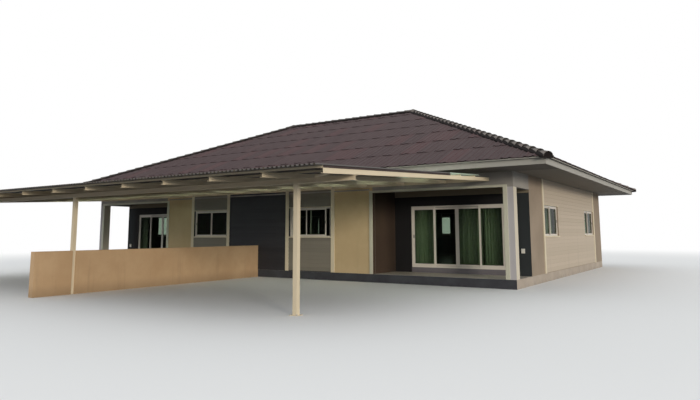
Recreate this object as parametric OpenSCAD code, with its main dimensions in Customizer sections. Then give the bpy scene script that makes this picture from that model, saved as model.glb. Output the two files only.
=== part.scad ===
// Mirrored pair of bungalow homes under one hip roof, with corner porches and a steel carport.
// Millimetres. X runs along the front, Y runs from the street side to the back, Z is up.
// The origin is on the ground at the middle of the house's base.

/* [House] */
// Distance from the line between the two homes to the outer corner
half_width = 9800; // [9200:100:11200]
// Depth of the house from its front wall face to its back wall face
house_depth = 12800; // [12000:100:14000]
// Thickness of the outer walls
wall = 150; // [110:10:180]
// Height of the plinth and of the porch floors over the ground
plinth_height = 270; // [150:10:400]
// Step from the porch floor up to the room floor
floor_step = 170; // [60:10:200]
// Height of the top of the walls over the ground
wall_top = 3360; // [3300:10:3600]
// Height of the ceiling board inside, over the ground
ceiling_level = 3040; // [2900:10:3150]
// Thickness of the ceiling and soffit boards
board = 12; // [9:1:20]

/* [Front wall] */
// Width of the dark panel in the middle of the front
centre_panel = 2820; // [2400:20:3200]
// Width of the flat bands beside each window bay
band_width = 140; // [120:10:220]
// Distance from the side of a window to the band beside it
band_gap = 35; // [0:5:60]
// How far the bands stand out of the wall
band_depth = 25; // [15:5:40]
// Width of each front window
window_width = 1800; // [1500:50:2000]
// Height of every window
window_height = 1040; // [800:20:1200]
// Height of the window and door heads over the ground
head_level = 2500; // [2450:10:2700]
// Width of the plain panel between window bay and porch
side_panel = 1410; // [1000:10:1700]
// Width of the band round the mouth of a porch
porch_band = 120; // [100:10:200]

/* [Porch] */
// Depth of the porch from the front wall face to the wall with the door
porch_depth = 1530; // [1300:10:2000]
// Side of the square corner column
column = 300; // [200:10:350]
// Height of the underside of the porch beam over the ground
beam_level = 2910; // [2800:10:3000]
// Height of the band over the porch mouth
head_band = 70; // [40:5:100]

/* [Sliding doors] */
// Width of the door frame, outside
door_width = 3300; // [3000:50:3600]
// Distance from the porch's inner corner to the middle of the door
door_offset = 2280; // [2200:10:2500]
// Width of the outer frame's face
door_frame = 50; // [35:5:60]
// Depth of the outer frame, through the wall
door_frame_depth = 100; // [95:5:105]
// Width of a leaf's stiles and rails
leaf_stile = 60; // [45:5:80]
// Thickness of a leaf
leaf_thick = 32; // [28:1:34]
// Overlap of a sliding leaf and the fixed leaf beside it
leaf_overlap = 60; // [40:5:80]
// Thickness of the door and window glass
glass = 6; // [5:1:10]

/* [Sliding windows] */
// Width of the outer frame's face
window_frame = 45; // [35:5:60]
// Depth of the outer frame, through the wall
window_frame_depth = 80; // [75:5:95]
// Width of a sash's bars
sash_bar = 42; // [30:2:60]
// Thickness of a sash
sash_thick = 26; // [22:1:28]
// How far the outer sash of the right front window stands open
sash_open = 170; // [0:10:300]

/* [Side and back walls] */
// Width of the plain panels at the ends of the side and back walls
end_panel = 1460; // [1200:20:1800]

/* [Roof] */
// Slope of the roof
roof_pitch = 23.7; // [20:0.1:28]
// Overhang of the eaves from the wall face to the fascia's face
eaves = 1280; // [1000:20:1500]
// Height of the fascia board
fascia_height = 190; // [160:5:220]
// Thickness of the fascia board
fascia_thick = 25; // [16:1:32]
// Thickness of the roof covering
roof_thick = 30; // [25:5:60]
// How far the roof covering reaches past the fascia
drip = 70; // [40:5:90]
// Radius of the half-round ridge and hip caps
cap_radius = 125; // [100:5:150]

/* [Carport] */
// Reach of the carport from the front wall
carport_reach = 8370; // [7000:10:9000]
// Distance from one rafter to the next
rafter_pitch = 1400; // [1300:10:1450]
// Slope of the carport roof
carport_slope = 3.2; // [2:0.1:4]
// Height of the rafters' top at the wall, over the ground
rafter_top = 3200; // [3150:10:3250]
// Height of the rafters and of the beam
channel_height = 100; // [80:5:110]
// Width of a channel's flange
channel_flange = 50; // [40:5:60]
// Depth of a channel's lip
channel_lip = 15; // [10:1:20]
// Thickness of the channel steel
channel_steel = 4; // [3:0.5:5]
// Distance from the front wall to the middle of the main beam
beam_reach = 7290; // [6000:10:7600]
// Side of the square posts
post = 100; // [75:5:125]
// Height and width of the purlins
purlin = 38; // [30:2:60]
// Distance from one purlin to the next
purlin_pitch = 1020; // [900:10:1200]
// Distance from the front wall to the upper edge of the clear sheet
sheet_stop = 900; // [600:10:1200]
// Length of the clear sheet, which lies between the eaves and the dark sheet
clear_sheet = 2000; // [500:10:3000]
// How far the roof sheet reaches past the front ends of the rafters
front_lip = 220; // [100:10:300]
// How far the roof sheet reaches past the side rafters
side_lip = 40; // [20:5:80]
// Height of the sheet's ribs
rib_height = 28; // [15:1:35]
// Distance from one rib of the sheet to the next
rib_pitch = 104; // [90:2:140]
// Width of a rib at its foot
rib_foot = 60; // [52:1:70]
// Width of a rib's flat crest
rib_crest = 32; // [20:1:40]
// Thickness of the sheet
sheet = 3; // [2:0.5:4]
// Side of the square ties at the carport's front corners
tie = 40; // [30:5:50]
// Distance along the beam from a side rafter to where its tie starts
tie_spread = 940; // [700:10:1100]
// Distance from the front end of a side rafter back to its tie
tie_setback = 300; // [200:10:500]

/* [Wall between the drives] */
// Height of the low wall between the two drives
divider_height = 1150; // [900:10:1400]
// Thickness of the low wall
divider_thick = 180; // [140:10:240]

/* [Hidden] */
$fn = 48;
// A little more than nothing, so that a cut passes through a face
over = 1;
// Longer than the whole roof, for solids that only cut
beyond = 3 * (half_width + eaves);
// Front and back wall faces along Y
front = -house_depth / 2;
back = house_depth / 2;
room_floor_level = plinth_height + floor_step;
sill_level = head_level - window_height;
// Places along the front, from the line between the homes
bay_start = centre_panel / 2 + band_width + band_gap;
bay_end = bay_start + window_width;
panel_start = bay_end + band_gap + band_width;
porch_edge = panel_start + side_panel + porch_band;
porch_back = front + porch_depth;
// Sliding doors: places along X on the right-hand home
door_centre = porch_edge + door_offset;
door_start = door_centre - door_width / 2;
door_end = door_centre + door_width / 2;
door_height = head_level - room_floor_level;
door_face = porch_back + (wall - door_frame_depth) / 2;
meeting_gap = 6;
leaf_width = (door_width - 2 * door_frame - meeting_gap + 2 * leaf_overlap) / 4;
leaf_gap = 10;
leaf_clear = 12;
leaf_height = door_height - 2 * door_frame - 2 * leaf_clear;
leaf_base = room_floor_level + door_frame + leaf_clear;
track_gap = (door_frame_depth - 2 * leaf_thick - leaf_gap) / 2;
fixed_track = door_face + track_gap;
sliding_track = fixed_track + leaf_thick + leaf_gap;
inner_leaf_start = door_centre - meeting_gap / 2 - leaf_width;
outer_leaf_start = door_centre + meeting_gap / 2;
roller_radius = 14;
roller_width = 8;
roller_inset = 150;
seat_gap = 0.3;
rail_height = 6;
rail_width = 5;
// Windows along the side walls, measured from the front face of the house
side_window_a = porch_depth + end_panel + band_width + band_gap;
side_window_b = house_depth - end_panel - band_width - band_gap - window_width;
// Windows along the back wall, from the line between the homes
back_window_a = bay_start;
back_window_b = half_width - end_panel - band_width - band_gap - window_width;
// Roof
eave_level = wall_top + fascia_height;
half_depth = house_depth / 2;
ridge_half = half_width - half_depth;
roof_rise = (half_depth + eaves) * tan(roof_pitch);
roof_skin = roof_thick / cos(roof_pitch);
apex = eave_level + roof_rise + roof_skin;
hip_angle = atan(tan(roof_pitch) / sqrt(2));
cap_sink = 40;
cap_mitre = 22.5;
// Carport
last_rafter = (floor((half_width - rafter_pitch / 2 + over) / rafter_pitch) + 0.5) * rafter_pitch;
carport_drop = tan(carport_slope);
rafter_run = carport_reach / cos(carport_slope);
wall_channel_reach = band_depth + channel_flange;
// The rafters rest on the front edge of the beam
beam_top = rafter_top - channel_height / cos(carport_slope) - (beam_reach + channel_flange) * carport_drop;
beam_bottom = beam_top - channel_height;
post_spread = last_rafter - rafter_pitch;
plate_side = 2 * post;
plate_thick = 10;

// Shapes used by several pieces

module block(x, y, z) {
    translate([x[0], y[0], z[0]]) cube([x[1] - x[0], y[1] - y[0], z[1] - z[0]]);
}

module both_homes() {
    children();
    mirror([1, 0, 0]) children();
}

// An open rectangular frame that stands in the XZ plane, its near corner at the origin
module open_frame(width, height, depth, bar) {
    difference() {
        cube([width, depth, height]);
        translate([bar, -over, bar]) cube([width - 2 * bar, depth + 2 * over, height - 2 * bar]);
    }
}

// A lipped channel section: web on the left, mouth to the right, base at the origin
module channel_section(height) {
    steel = channel_steel;
    polygon([[0, 0], [channel_flange, 0], [channel_flange, channel_lip],
        [channel_flange - steel, channel_lip], [channel_flange - steel, steel], [steel, steel],
        [steel, height - steel], [channel_flange - steel, height - steel],
        [channel_flange - steel, height - channel_lip], [channel_flange, height - channel_lip],
        [channel_flange, height], [0, height]]);
}

// A section drawn in XZ, run along Y
module along_y(length) {
    translate([0, length, 0]) rotate([90, 0, 0]) linear_extrude(length) children();
}

// A section drawn in YZ, run along X
module along_x(length) {
    rotate([90, 0, 90]) linear_extrude(length) children();
}

// Floors

module plinth() {
    color("dimgray")
        block([-half_width, half_width], [front, back], [0, plinth_height]);
}

module room_floor() {
    color("tan") union() {
        block([-half_width + wall, half_width - wall], [porch_back + wall, back - wall],
            [plinth_height, room_floor_level]);
        block([-porch_edge + wall, porch_edge - wall], [front + wall, porch_back + wall + over],
            [plinth_height, room_floor_level]);
        both_homes() block([door_start, door_end], [porch_back, porch_back + wall + over],
            [plinth_height, room_floor_level]);
    }
}

// Walls

module window_hole(x, y_face) {
    translate([x, y_face - over, sill_level]) cube([window_width, wall + 2 * over, window_height]);
}

module front_wall() {
    color("dimgray") difference() {
        block([-porch_edge, porch_edge], [front, front + wall], [plinth_height, wall_top]);
        both_homes() window_hole(bay_start, front);
    }
}

module porch_return_walls() {
    color("darkslategray") both_homes()
        block([porch_edge - wall, porch_edge], [front + wall, porch_back + wall],
            [plinth_height, wall_top]);
}

module walls_beside_doors() {
    color("darkslategray") both_homes() {
        block([porch_edge, door_start], [porch_back, porch_back + wall], [plinth_height, wall_top]);
        block([door_end, half_width], [porch_back, porch_back + wall], [plinth_height, wall_top]);
    }
}

module walls_over_doors() {
    color("darkslategray") both_homes()
        block([door_start, door_end], [porch_back, porch_back + wall], [head_level, wall_top]);
}

module side_wall() {
    difference() {
        block([half_width - wall, half_width], [porch_back + wall, back - wall],
            [plinth_height, wall_top]);
        for (start = [side_window_a, side_window_b])
            translate([half_width - wall - over, front + start, sill_level])
                cube([wall + 2 * over, window_width, window_height]);
    }
}

module side_walls() {
    color("wheat") both_homes() side_wall();
}

module back_wall() {
    color("wheat") difference() {
        block([-half_width, half_width], [back - wall, back], [plinth_height, wall_top]);
        both_homes() for (start = [back_window_a, back_window_b]) window_hole(start, back - wall);
    }
}

// Porch columns and the beams on them

module porch_columns() {
    color("ivory") both_homes()
        block([half_width - column, half_width], [front, front + column], [plinth_height, beam_level]);
}

module porch_beams() {
    color("gray") both_homes() union() {
        block([porch_edge, half_width], [front, front + wall], [beam_level, wall_top]);
        block([half_width - wall, half_width], [front + wall - over, porch_back],
            [beam_level, wall_top]);
    }
}

// Flat bands that frame the panels

module band(x, width) {
    block([x, x + width], [front - band_depth, front], [plinth_height, wall_top]);
}

module wall_bands() {
    color("ivory") both_homes() {
        band(centre_panel / 2, band_width);
        band(bay_end + band_gap, band_width);
        side_bands();
        back_bands();
    }
}

module porch_bands() {
    mouth_end = half_width - column;
    color("ivory") both_homes() union() {
        block([porch_edge - porch_band, porch_edge], [front - band_depth, front],
            [plinth_height, beam_level + head_band]);
        block([porch_edge - over, mouth_end + over], [front - band_depth, front],
            [beam_level, beam_level + head_band]);
        block([mouth_end, mouth_end + porch_band], [front - band_depth, front],
            [plinth_height, beam_level + head_band]);
    }
}

module side_bands() {
    for (y = [side_window_a - band_gap - band_width, side_window_b + window_width + band_gap])
        block([half_width, half_width + band_depth], [front + y, front + y + band_width],
            [plinth_height, wall_top]);
}

module back_bands() {
    for (start = [back_window_a, back_window_b],
            x = [start - band_gap - band_width, start + window_width + band_gap])
        block([x, x + band_width], [back, back + band_depth], [plinth_height, wall_top]);
}

// Sliding windows, in a frame of their own: X along the wall, Y inwards, base at the sill

module window_frame_piece(open) {
    inner_width = window_width - 2 * window_frame;
    sash_width = (inner_width + sash_bar) / 2;
    sash_height = window_height - 2 * window_frame;
    gap = (window_frame_depth - 2 * sash_thick) / 3;
    union() {
        open_frame(window_width, window_height, window_frame_depth, window_frame);
        translate([window_width - window_frame - sash_width - open, gap, window_frame])
            open_frame(sash_width, sash_height, sash_thick, sash_bar);
        translate([window_frame, 2 * gap + sash_thick, window_frame])
            open_frame(sash_width, sash_height, sash_thick, sash_bar);
    }
}

module window_glass_piece(open) {
    inner_width = window_width - 2 * window_frame;
    sash_width = (inner_width + sash_bar) / 2;
    sash_height = window_height - 2 * window_frame;
    gap = (window_frame_depth - 2 * sash_thick) / 3;
    pane = [sash_width - 2 * sash_bar, glass, sash_height - 2 * sash_bar];
    inset = (sash_thick - glass) / 2;
    translate([window_width - window_frame - sash_width - open + sash_bar, gap + inset,
        window_frame + sash_bar]) cube(pane);
    translate([window_frame + sash_bar, 2 * gap + sash_thick + inset, window_frame + sash_bar])
        cube(pane);
}

module at_front_windows() {
    set_back = (wall - window_frame_depth) / 2;
    translate([bay_start, front + set_back, sill_level]) children(0);
    mirror([1, 0, 0]) translate([bay_start, front + set_back, sill_level]) children(1);
}

module at_side_windows() {
    set_back = (wall - window_frame_depth) / 2;
    both_homes() for (start = [side_window_a, side_window_b])
        translate([half_width - set_back, front + start, sill_level]) rotate([0, 0, 90]) children();
}

module at_back_windows() {
    set_back = (wall - window_frame_depth) / 2;
    both_homes() for (start = [back_window_a, back_window_b])
        translate([start + window_width, back - set_back, sill_level]) rotate([0, 0, 180]) children();
}

module window_frames() {
    color("whitesmoke") {
        at_front_windows() {
            window_frame_piece(sash_open);
            window_frame_piece(0);
        }
        at_side_windows() window_frame_piece(0);
        at_back_windows() window_frame_piece(0);
    }
}

module window_glass() {
    color("lightblue", 0.5) {
        at_front_windows() {
            window_glass_piece(sash_open);
            window_glass_piece(0);
        }
        at_side_windows() window_glass_piece(0);
        at_back_windows() window_glass_piece(0);
    }
}

// Sliding doors of four leaves: the two outer ones are fixed and the two middle ones slide
// on the inner rail. The pieces are drawn for the right-hand home.

module leaf_bars(x, y) {
    translate([x, y, leaf_base]) open_frame(leaf_width, leaf_height, leaf_thick, leaf_stile);
}

module leaf_pane(x, y) {
    translate([x + leaf_stile, y + (leaf_thick - glass) / 2, leaf_base + leaf_stile])
        cube([leaf_width - 2 * leaf_stile, glass, leaf_height - 2 * leaf_stile]);
}

// Fixed leaves reach into the frame at the foot and at the head
module fixed_leaf_bars(x) {
    union() {
        leaf_bars(x, fixed_track);
        block([x, x + leaf_width], [fixed_track, fixed_track + leaf_thick],
            [leaf_base - leaf_clear - over, leaf_base + over]);
        block([x, x + leaf_width], [fixed_track, fixed_track + leaf_thick],
            [leaf_base + leaf_height - over, leaf_base + leaf_height + leaf_clear + over]);
    }
}

// Sliding leaves stand on two rollers on the rail
module sliding_leaf_bars(x) {
    rail_top = room_floor_level + door_frame + rail_height;
    roller_z = rail_top + seat_gap + roller_radius;
    roller_y = sliding_track + (leaf_thick - roller_width) / 2;
    union() {
        leaf_bars(x, sliding_track);
        for (roller_x = [x + roller_inset, x + leaf_width - roller_inset])
            translate([roller_x, roller_y, roller_z]) rotate([-90, 0, 0])
                cylinder(r = roller_radius, h = roller_width);
    }
}

module door_frame_piece() {
    rail_y = sliding_track + (leaf_thick - rail_width) / 2;
    foot = room_floor_level + door_frame;
    union() {
        translate([door_start, door_face, room_floor_level])
            open_frame(door_width, door_height, door_frame_depth, door_frame);
        block([door_start + door_frame - over, door_end - door_frame + over],
            [rail_y, rail_y + rail_width], [foot - over, foot + rail_height]);
        fixed_leaf_bars(door_start + door_frame);
        fixed_leaf_bars(door_end - door_frame - leaf_width);
    }
}

module fixed_panes() {
    leaf_pane(door_start + door_frame, fixed_track);
    leaf_pane(door_end - door_frame - leaf_width, fixed_track);
}

module right_door_frame() { color("whitesmoke") door_frame_piece(); }
module left_door_frame() { color("whitesmoke") mirror([1, 0, 0]) door_frame_piece(); }
module right_door_fixed_glass() { color("lightblue", 0.5) fixed_panes(); }
module left_door_fixed_glass() { color("lightblue", 0.5) mirror([1, 0, 0]) fixed_panes(); }
module right_door_inner_leaf() { color("whitesmoke") sliding_leaf_bars(inner_leaf_start); }
module right_door_outer_leaf() { color("whitesmoke") sliding_leaf_bars(outer_leaf_start); }
module left_door_inner_leaf() {
    color("whitesmoke") mirror([1, 0, 0]) sliding_leaf_bars(inner_leaf_start);
}
module left_door_outer_leaf() {
    color("whitesmoke") mirror([1, 0, 0]) sliding_leaf_bars(outer_leaf_start);
}
module right_door_inner_glass() {
    color("lightblue", 0.5) leaf_pane(inner_leaf_start, sliding_track);
}
module right_door_outer_glass() {
    color("lightblue", 0.5) leaf_pane(outer_leaf_start, sliding_track);
}
module left_door_inner_glass() {
    color("lightblue", 0.5) mirror([1, 0, 0]) leaf_pane(inner_leaf_start, sliding_track);
}
module left_door_outer_glass() {
    color("lightblue", 0.5) mirror([1, 0, 0]) leaf_pane(outer_leaf_start, sliding_track);
}

// Ceiling and soffit boards

module ceiling() {
    z = [ceiling_level, ceiling_level + board];
    color("white") union() {
        block([-half_width + wall, half_width - wall], [porch_back + wall, back - wall], z);
        block([-porch_edge + wall, porch_edge - wall], [front + wall, porch_back + wall + over], z);
    }
}

module front_and_back_soffits() {
    reach = half_width + eaves - fascia_thick;
    z = [wall_top, wall_top + board];
    color("white") {
        block([-reach, reach], [front - eaves + fascia_thick, front + wall], z);
        block([-reach, reach], [back - wall, back + eaves - fascia_thick], z);
    }
}

// The side soffits run on as the ceilings of the porches
module side_soffits() {
    z = [wall_top, wall_top + board];
    color("white") both_homes() union() {
        block([half_width - wall, half_width + eaves - fascia_thick], [front + wall, back - wall], z);
        block([porch_edge - wall, half_width - wall + over], [front + wall, porch_back + wall], z);
    }
}

module front_and_back_fascias() {
    reach = half_width + eaves;
    z = [wall_top, eave_level];
    color("silver") {
        block([-reach, reach], [front - eaves, front - eaves + fascia_thick], z);
        block([-reach, reach], [back + eaves - fascia_thick, back + eaves], z);
    }
}

module side_fascias() {
    reach = half_width + eaves;
    color("silver") both_homes()
        block([reach - fascia_thick, reach], [front - eaves + fascia_thick, back + eaves - fascia_thick],
            [wall_top, eave_level]);
}

// Hip roof

// One slope in a frame of its own: the fascia's face at y = 0, rising towards +Y
module slope(half_eave, half_top) {
    run = half_depth + eaves;
    intersection() {
        linear_extrude(beyond)
            polygon([[-half_eave - drip, -drip], [half_eave + drip, -drip],
                [half_top, run], [-half_top, run]]);
        translate([-beyond / 2, 0, eave_level]) rotate([roof_pitch, 0, 0])
            translate([0, -2 * drip, 0]) cube([beyond, beyond, roof_thick]);
    }
}

module roof_front() {
    color("saddlebrown") translate([0, front - eaves, 0]) slope(half_width + eaves, ridge_half);
}

module roof_back() {
    color("saddlebrown") rotate([0, 0, 180]) translate([0, front - eaves, 0])
        slope(half_width + eaves, ridge_half);
}

module roof_ends() {
    color("saddlebrown") both_homes() translate([half_width + eaves, 0, 0]) rotate([0, 0, 90])
        slope(half_depth + eaves, 0);
}

// Everything up to the seat of the caps, a hair over the roof's upper surface
module below_slope(run) {
    translate([-beyond / 2, -run, eave_level + roof_skin + seat_gap]) rotate([roof_pitch, 0, 0])
        translate([0, -beyond, -beyond]) cube([beyond, 2 * beyond, beyond]);
}

module below_roof() {
    intersection() {
        below_slope(half_depth + eaves);
        rotate([0, 0, 180]) below_slope(half_depth + eaves);
        rotate([0, 0, 90]) below_slope(half_width + eaves);
        rotate([0, 0, -90]) below_slope(half_width + eaves);
    }
}

// The caps meet at each end of the ridge in upright mitres, halfway between their directions
module ridge_cap() {
    reach = 2 * cap_radius;
    tip = ridge_half - seat_gap;
    shoulder = tip - reach * tan(cap_mitre);
    color("rosybrown") difference() {
        intersection() {
            translate([-ridge_half, 0, apex - cap_sink]) rotate([0, 90, 0])
                cylinder(r = cap_radius, h = 2 * ridge_half);
            linear_extrude(beyond) polygon([[tip, 0], [shoulder, reach], [-shoulder, reach],
                [-tip, 0], [-shoulder, -reach], [shoulder, -reach]]);
        }
        below_roof();
    }
}

module hip_cap() {
    run = (half_depth + eaves + drip) * sqrt(2) / cos(hip_angle);
    reach = half_depth + eaves + half_width;
    difference() {
        intersection() {
            translate([ridge_half, 0, apex - cap_sink]) rotate([0, 0, 45])
                rotate([0, 90 + hip_angle, 0]) translate([0, 0, -cap_radius / 2])
                    cylinder(r = cap_radius, h = run + cap_radius / 2);
            translate([ridge_half, 0, 0]) linear_extrude(beyond)
                polygon([[0, 0], [reach, 0], [reach, reach], [-reach * tan(cap_mitre), reach]]);
        }
        below_roof();
    }
}

module hip_caps() {
    color("rosybrown") both_homes() {
        hip_cap();
        mirror([0, 1, 0]) hip_cap();
    }
}

// Carport

// Tilts its children about the line where the rafters' top meets the wall
module carport_tilt() {
    translate([0, front, rafter_top]) rotate([carport_slope, 0, 0]) children();
}

module carport_posts() {
    color("ivory") for (x = [-post_spread, 0, post_spread])
        translate([x, front - beam_reach, 0]) union() {
            translate([-post / 2, -post / 2, 0]) cube([post, post, beam_bottom]);
            if (x != 0)
                translate([-plate_side / 2, -plate_side / 2, 0])
                    cube([plate_side, plate_side, plate_thick]);
        }
}

module carport_beam() {
    color("ivory") translate([-last_rafter, front - beam_reach, beam_bottom]) union() {
        along_x(2 * last_rafter) channel_section(channel_height);
        along_x(2 * last_rafter) mirror([1, 0, 0]) channel_section(channel_height);
    }
}

// Bolted to the faces of the flat bands
module carport_wall_channel() {
    bottom = rafter_top - channel_height / cos(carport_slope) - wall_channel_reach * carport_drop;
    color("ivory") translate([-last_rafter, front - band_depth, bottom])
        along_x(2 * last_rafter) mirror([1, 0, 0]) channel_section(channel_height);
}

// A rafter in the tilted frame, running down from the wall channel
module rafter() {
    start = wall_channel_reach / cos(carport_slope) + channel_height * carport_drop;
    translate([0, -rafter_run, -channel_height]) along_y(rafter_run - start)
        channel_section(channel_height);
}

// The webs of the outermost two face outwards
module carport_rafters() {
    color("ivory") carport_tilt() both_homes()
        for (x = [rafter_pitch / 2 : rafter_pitch : last_rafter + over])
            translate([x + channel_flange / 2, 0, 0]) mirror([1, 0, 0]) rafter();
}

module carport_purlins() {
    purlin_length = 2 * last_rafter + channel_flange;
    count = floor((rafter_run - sheet_stop - purlin) / purlin_pitch) + 1;
    color("silver") carport_tilt()
        for (i = [0 : count - 1])
            translate([-purlin_length / 2, -rafter_run + i * purlin_pitch, 0])
                cube([purlin_length, purlin, purlin]);
}

// Short ties from the beam out to the front ends of the side rafters, level with their undersides
module carport_braces() {
    inner = [last_rafter - tie_spread, -beam_reach / cos(carport_slope)];
    outer = [last_rafter - channel_flange / 2, -rafter_run + tie_setback];
    run = outer - inner;
    color("ivory") carport_tilt() both_homes() translate([0, 0, -channel_height]) intersection() {
        translate(inner) rotate([0, 0, atan2(run[1], run[0])])
            translate([0, -tie / 2, 0]) cube([norm(run) + tie, tie, tie]);
        translate([inner[0] - tie, -rafter_run, 0])
            cube([outer[0] - inner[0] + tie, rafter_run, tie]);
    }
}

// Ribbed sheet laid on the purlins, one rib after another across the whole width
module ribbed_sheet(lower, upper) {
    width = 2 * last_rafter + channel_flange + 2 * side_lip;
    ribs = floor((width - over) / rib_pitch);
    first_foot = (rib_pitch - rib_foot - ribs * rib_pitch) / 2;
    slope_width = (rib_foot - rib_crest) / 2;
    // The underside is set in at each bend, so that the sheet keeps its thickness
    inset = sheet * tan(atan2(rib_height, slope_width) / 2);
    carport_tilt() translate([0, lower, purlin])
        along_y(upper - lower) polygon(concat(
            [[-width / 2, sheet]],
            rib_row(ribs, first_foot, slope_width, 0, sheet),
            [[width / 2, sheet], [width / 2, 0]],
            reversed(rib_row(ribs, first_foot, slope_width, inset, 0)),
            [[-width / 2, 0]]));
}

module carport_sheet() {
    color("dimgray") ribbed_sheet(-rafter_run - front_lip, -sheet_stop - clear_sheet);
}

module carport_clear_sheet() {
    color("honeydew", 0.6) ribbed_sheet(-sheet_stop - clear_sheet, -sheet_stop);
}

// Corners of a row of ribs, with each rib set in by the same amount on both sides
function rib_row(ribs, first_foot, slope_width, inset, level) = [
    for (i = [0 : ribs - 1], corner = [[inset, 0], [slope_width + inset, rib_height],
            [rib_foot - slope_width - inset, rib_height], [rib_foot - inset, 0]])
        [first_foot + i * rib_pitch + corner[0], level + corner[1]]];

function reversed(points) = [for (i = [len(points) - 1 : -1 : 0]) points[i]];

// Low wall between the two drives, built up to both faces of the middle post
module divider_wall() {
    color("burlywood") {
        block([-divider_thick / 2, divider_thick / 2],
            [front - beam_reach + post / 2, front], [0, divider_height]);
        block([-divider_thick / 2, divider_thick / 2],
            [front - carport_reach, front - beam_reach - post / 2], [0, divider_height]);
    }
}

plinth();
room_floor();
front_wall();
porch_return_walls();
walls_beside_doors();
walls_over_doors();
side_walls();
back_wall();
porch_columns();
porch_beams();
wall_bands();
porch_bands();
window_frames();
window_glass();
right_door_frame();
right_door_fixed_glass();
right_door_inner_leaf();
right_door_inner_glass();
right_door_outer_leaf();
right_door_outer_glass();
left_door_frame();
left_door_fixed_glass();
left_door_inner_leaf();
left_door_inner_glass();
left_door_outer_leaf();
left_door_outer_glass();
ceiling();
front_and_back_soffits();
side_soffits();
front_and_back_fascias();
side_fascias();
roof_front();
roof_back();
roof_ends();
ridge_cap();
hip_caps();
carport_posts();
carport_beam();
carport_wall_channel();
carport_rafters();
carport_purlins();
carport_braces();
carport_sheet();
carport_clear_sheet();
divider_wall();
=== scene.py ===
import math

import bmesh
import bpy
from mathutils import Matrix, Vector


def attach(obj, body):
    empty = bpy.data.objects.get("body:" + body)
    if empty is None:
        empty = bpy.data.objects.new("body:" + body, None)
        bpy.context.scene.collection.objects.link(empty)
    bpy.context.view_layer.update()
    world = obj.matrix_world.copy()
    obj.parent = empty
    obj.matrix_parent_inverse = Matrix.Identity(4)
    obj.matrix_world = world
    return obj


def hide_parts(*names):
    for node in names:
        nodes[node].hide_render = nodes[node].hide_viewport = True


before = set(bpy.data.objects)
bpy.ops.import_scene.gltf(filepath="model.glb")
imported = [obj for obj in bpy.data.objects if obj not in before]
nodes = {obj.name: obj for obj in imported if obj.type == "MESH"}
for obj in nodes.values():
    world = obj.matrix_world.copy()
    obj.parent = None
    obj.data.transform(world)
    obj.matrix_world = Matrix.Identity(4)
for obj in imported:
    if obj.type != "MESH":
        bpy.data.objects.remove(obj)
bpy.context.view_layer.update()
print("frame loaded:", len(nodes), "nodes")

# Places of the solids, in metres, as the part's source has them
house = {
    "halfWidth": 9.8, "front": -6.4, "back": 6.4, "wall": 0.15,
    "plinthTop": 0.27, "floorTop": 0.44, "wallTop": 3.36, "sill": 1.46, "head": 2.5,
    "centreBand": 1.41, "bandGap": 0.035, "bandMiddles": (1.48, 3.49, 8.27),
    "bayStart": 1.585, "bayEnd": 3.385, "panelStart": 3.56, "panelEnd": 4.97,
    "porchEdge": 5.09, "porchBack": -4.87,
    "sideWindows": (-3.235, 2.965), "backWindows": (1.585, 6.365),
    "windowWidth": 1.8, "windowInset": 0.035, "frameDepth": 0.08,
}
roof = {
    "pitch": math.radians(23.7), "reachX": 11.08, "reachY": 7.68, "topAtFascia": 3.5828,
    "ridgeHalf": 3.4, "drip": 0.07, "capReach": 0.02, "apex": 6.9541,
}
carport = {
    "slope": math.radians(3.2), "rafterTop": 3.2, "reach": 8.37, "postX": 7.7, "beamReach": 7.29,
    "plateTop": 0.010, "purlin": 0.038, "sheet": 0.003, "channelFace": 0.029, "channelBolts": 3.126,
}
centreEdge, bayEdge, backEdge = house["bandMiddles"]
bayPanel = (house["bayStart"] - house["bandGap"], house["bayEnd"] + house["bandGap"])
mirror = Matrix.Diagonal((-1, 1, 1, 1))
homes = (("right", Matrix.Identity(4)), ("left", mirror))


class Wire:
    # One output of a node. Arithmetic on it adds Math nodes to the same tree
    def __init__(self, graph, socket):
        self.graph = graph
        self.socket = socket

    def work(self, operation, *others):
        return self.graph.add("ShaderNodeMath", {"operation": operation}, [self, *others])

    def after(self, operation, other):
        return self.graph.add("ShaderNodeMath", {"operation": operation}, [other, self])

    def __add__(self, other):
        return self.work("ADD", other)

    def __radd__(self, other):
        return self.work("ADD", other)

    def __sub__(self, other):
        return self.work("SUBTRACT", other)

    def __rsub__(self, other):
        return self.after("SUBTRACT", other)

    def __mul__(self, other):
        return self.work("MULTIPLY", other)

    def __truediv__(self, other):
        return self.work("DIVIDE", other)

    def __pow__(self, other):
        return self.work("POWER", other)

    def __neg__(self):
        return self.work("MULTIPLY", -1.0)

    def __abs__(self):
        return self.work("ABSOLUTE")

    def __gt__(self, other):
        return self.work("GREATER_THAN", other)

    def __lt__(self, other):
        return self.work("LESS_THAN", other)

    def pick(self, name):
        return Wire(self.graph, self.socket.node.outputs[name])


class Graph:
    # A node tree with one method that adds a node: settings first, then values or links
    def __init__(self, tree):
        self.tree = tree

    def add(self, kind, settings=None, values=None, output=0):
        node = self.tree.nodes.new(kind)
        for name, value in (settings or {}).items():
            setattr(node, name, value)
        pairs = values.items() if isinstance(values, dict) else enumerate(values or [])
        for key, value in pairs:
            socket = node.inputs[key]
            if isinstance(value, Wire):
                self.tree.links.new(value.socket, socket)
            else:
                socket.default_value = value
        return Wire(self, node.outputs[output]) if len(node.outputs) else node

    def join(self, wire, socket):
        self.tree.links.new(wire.socket, socket)


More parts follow.
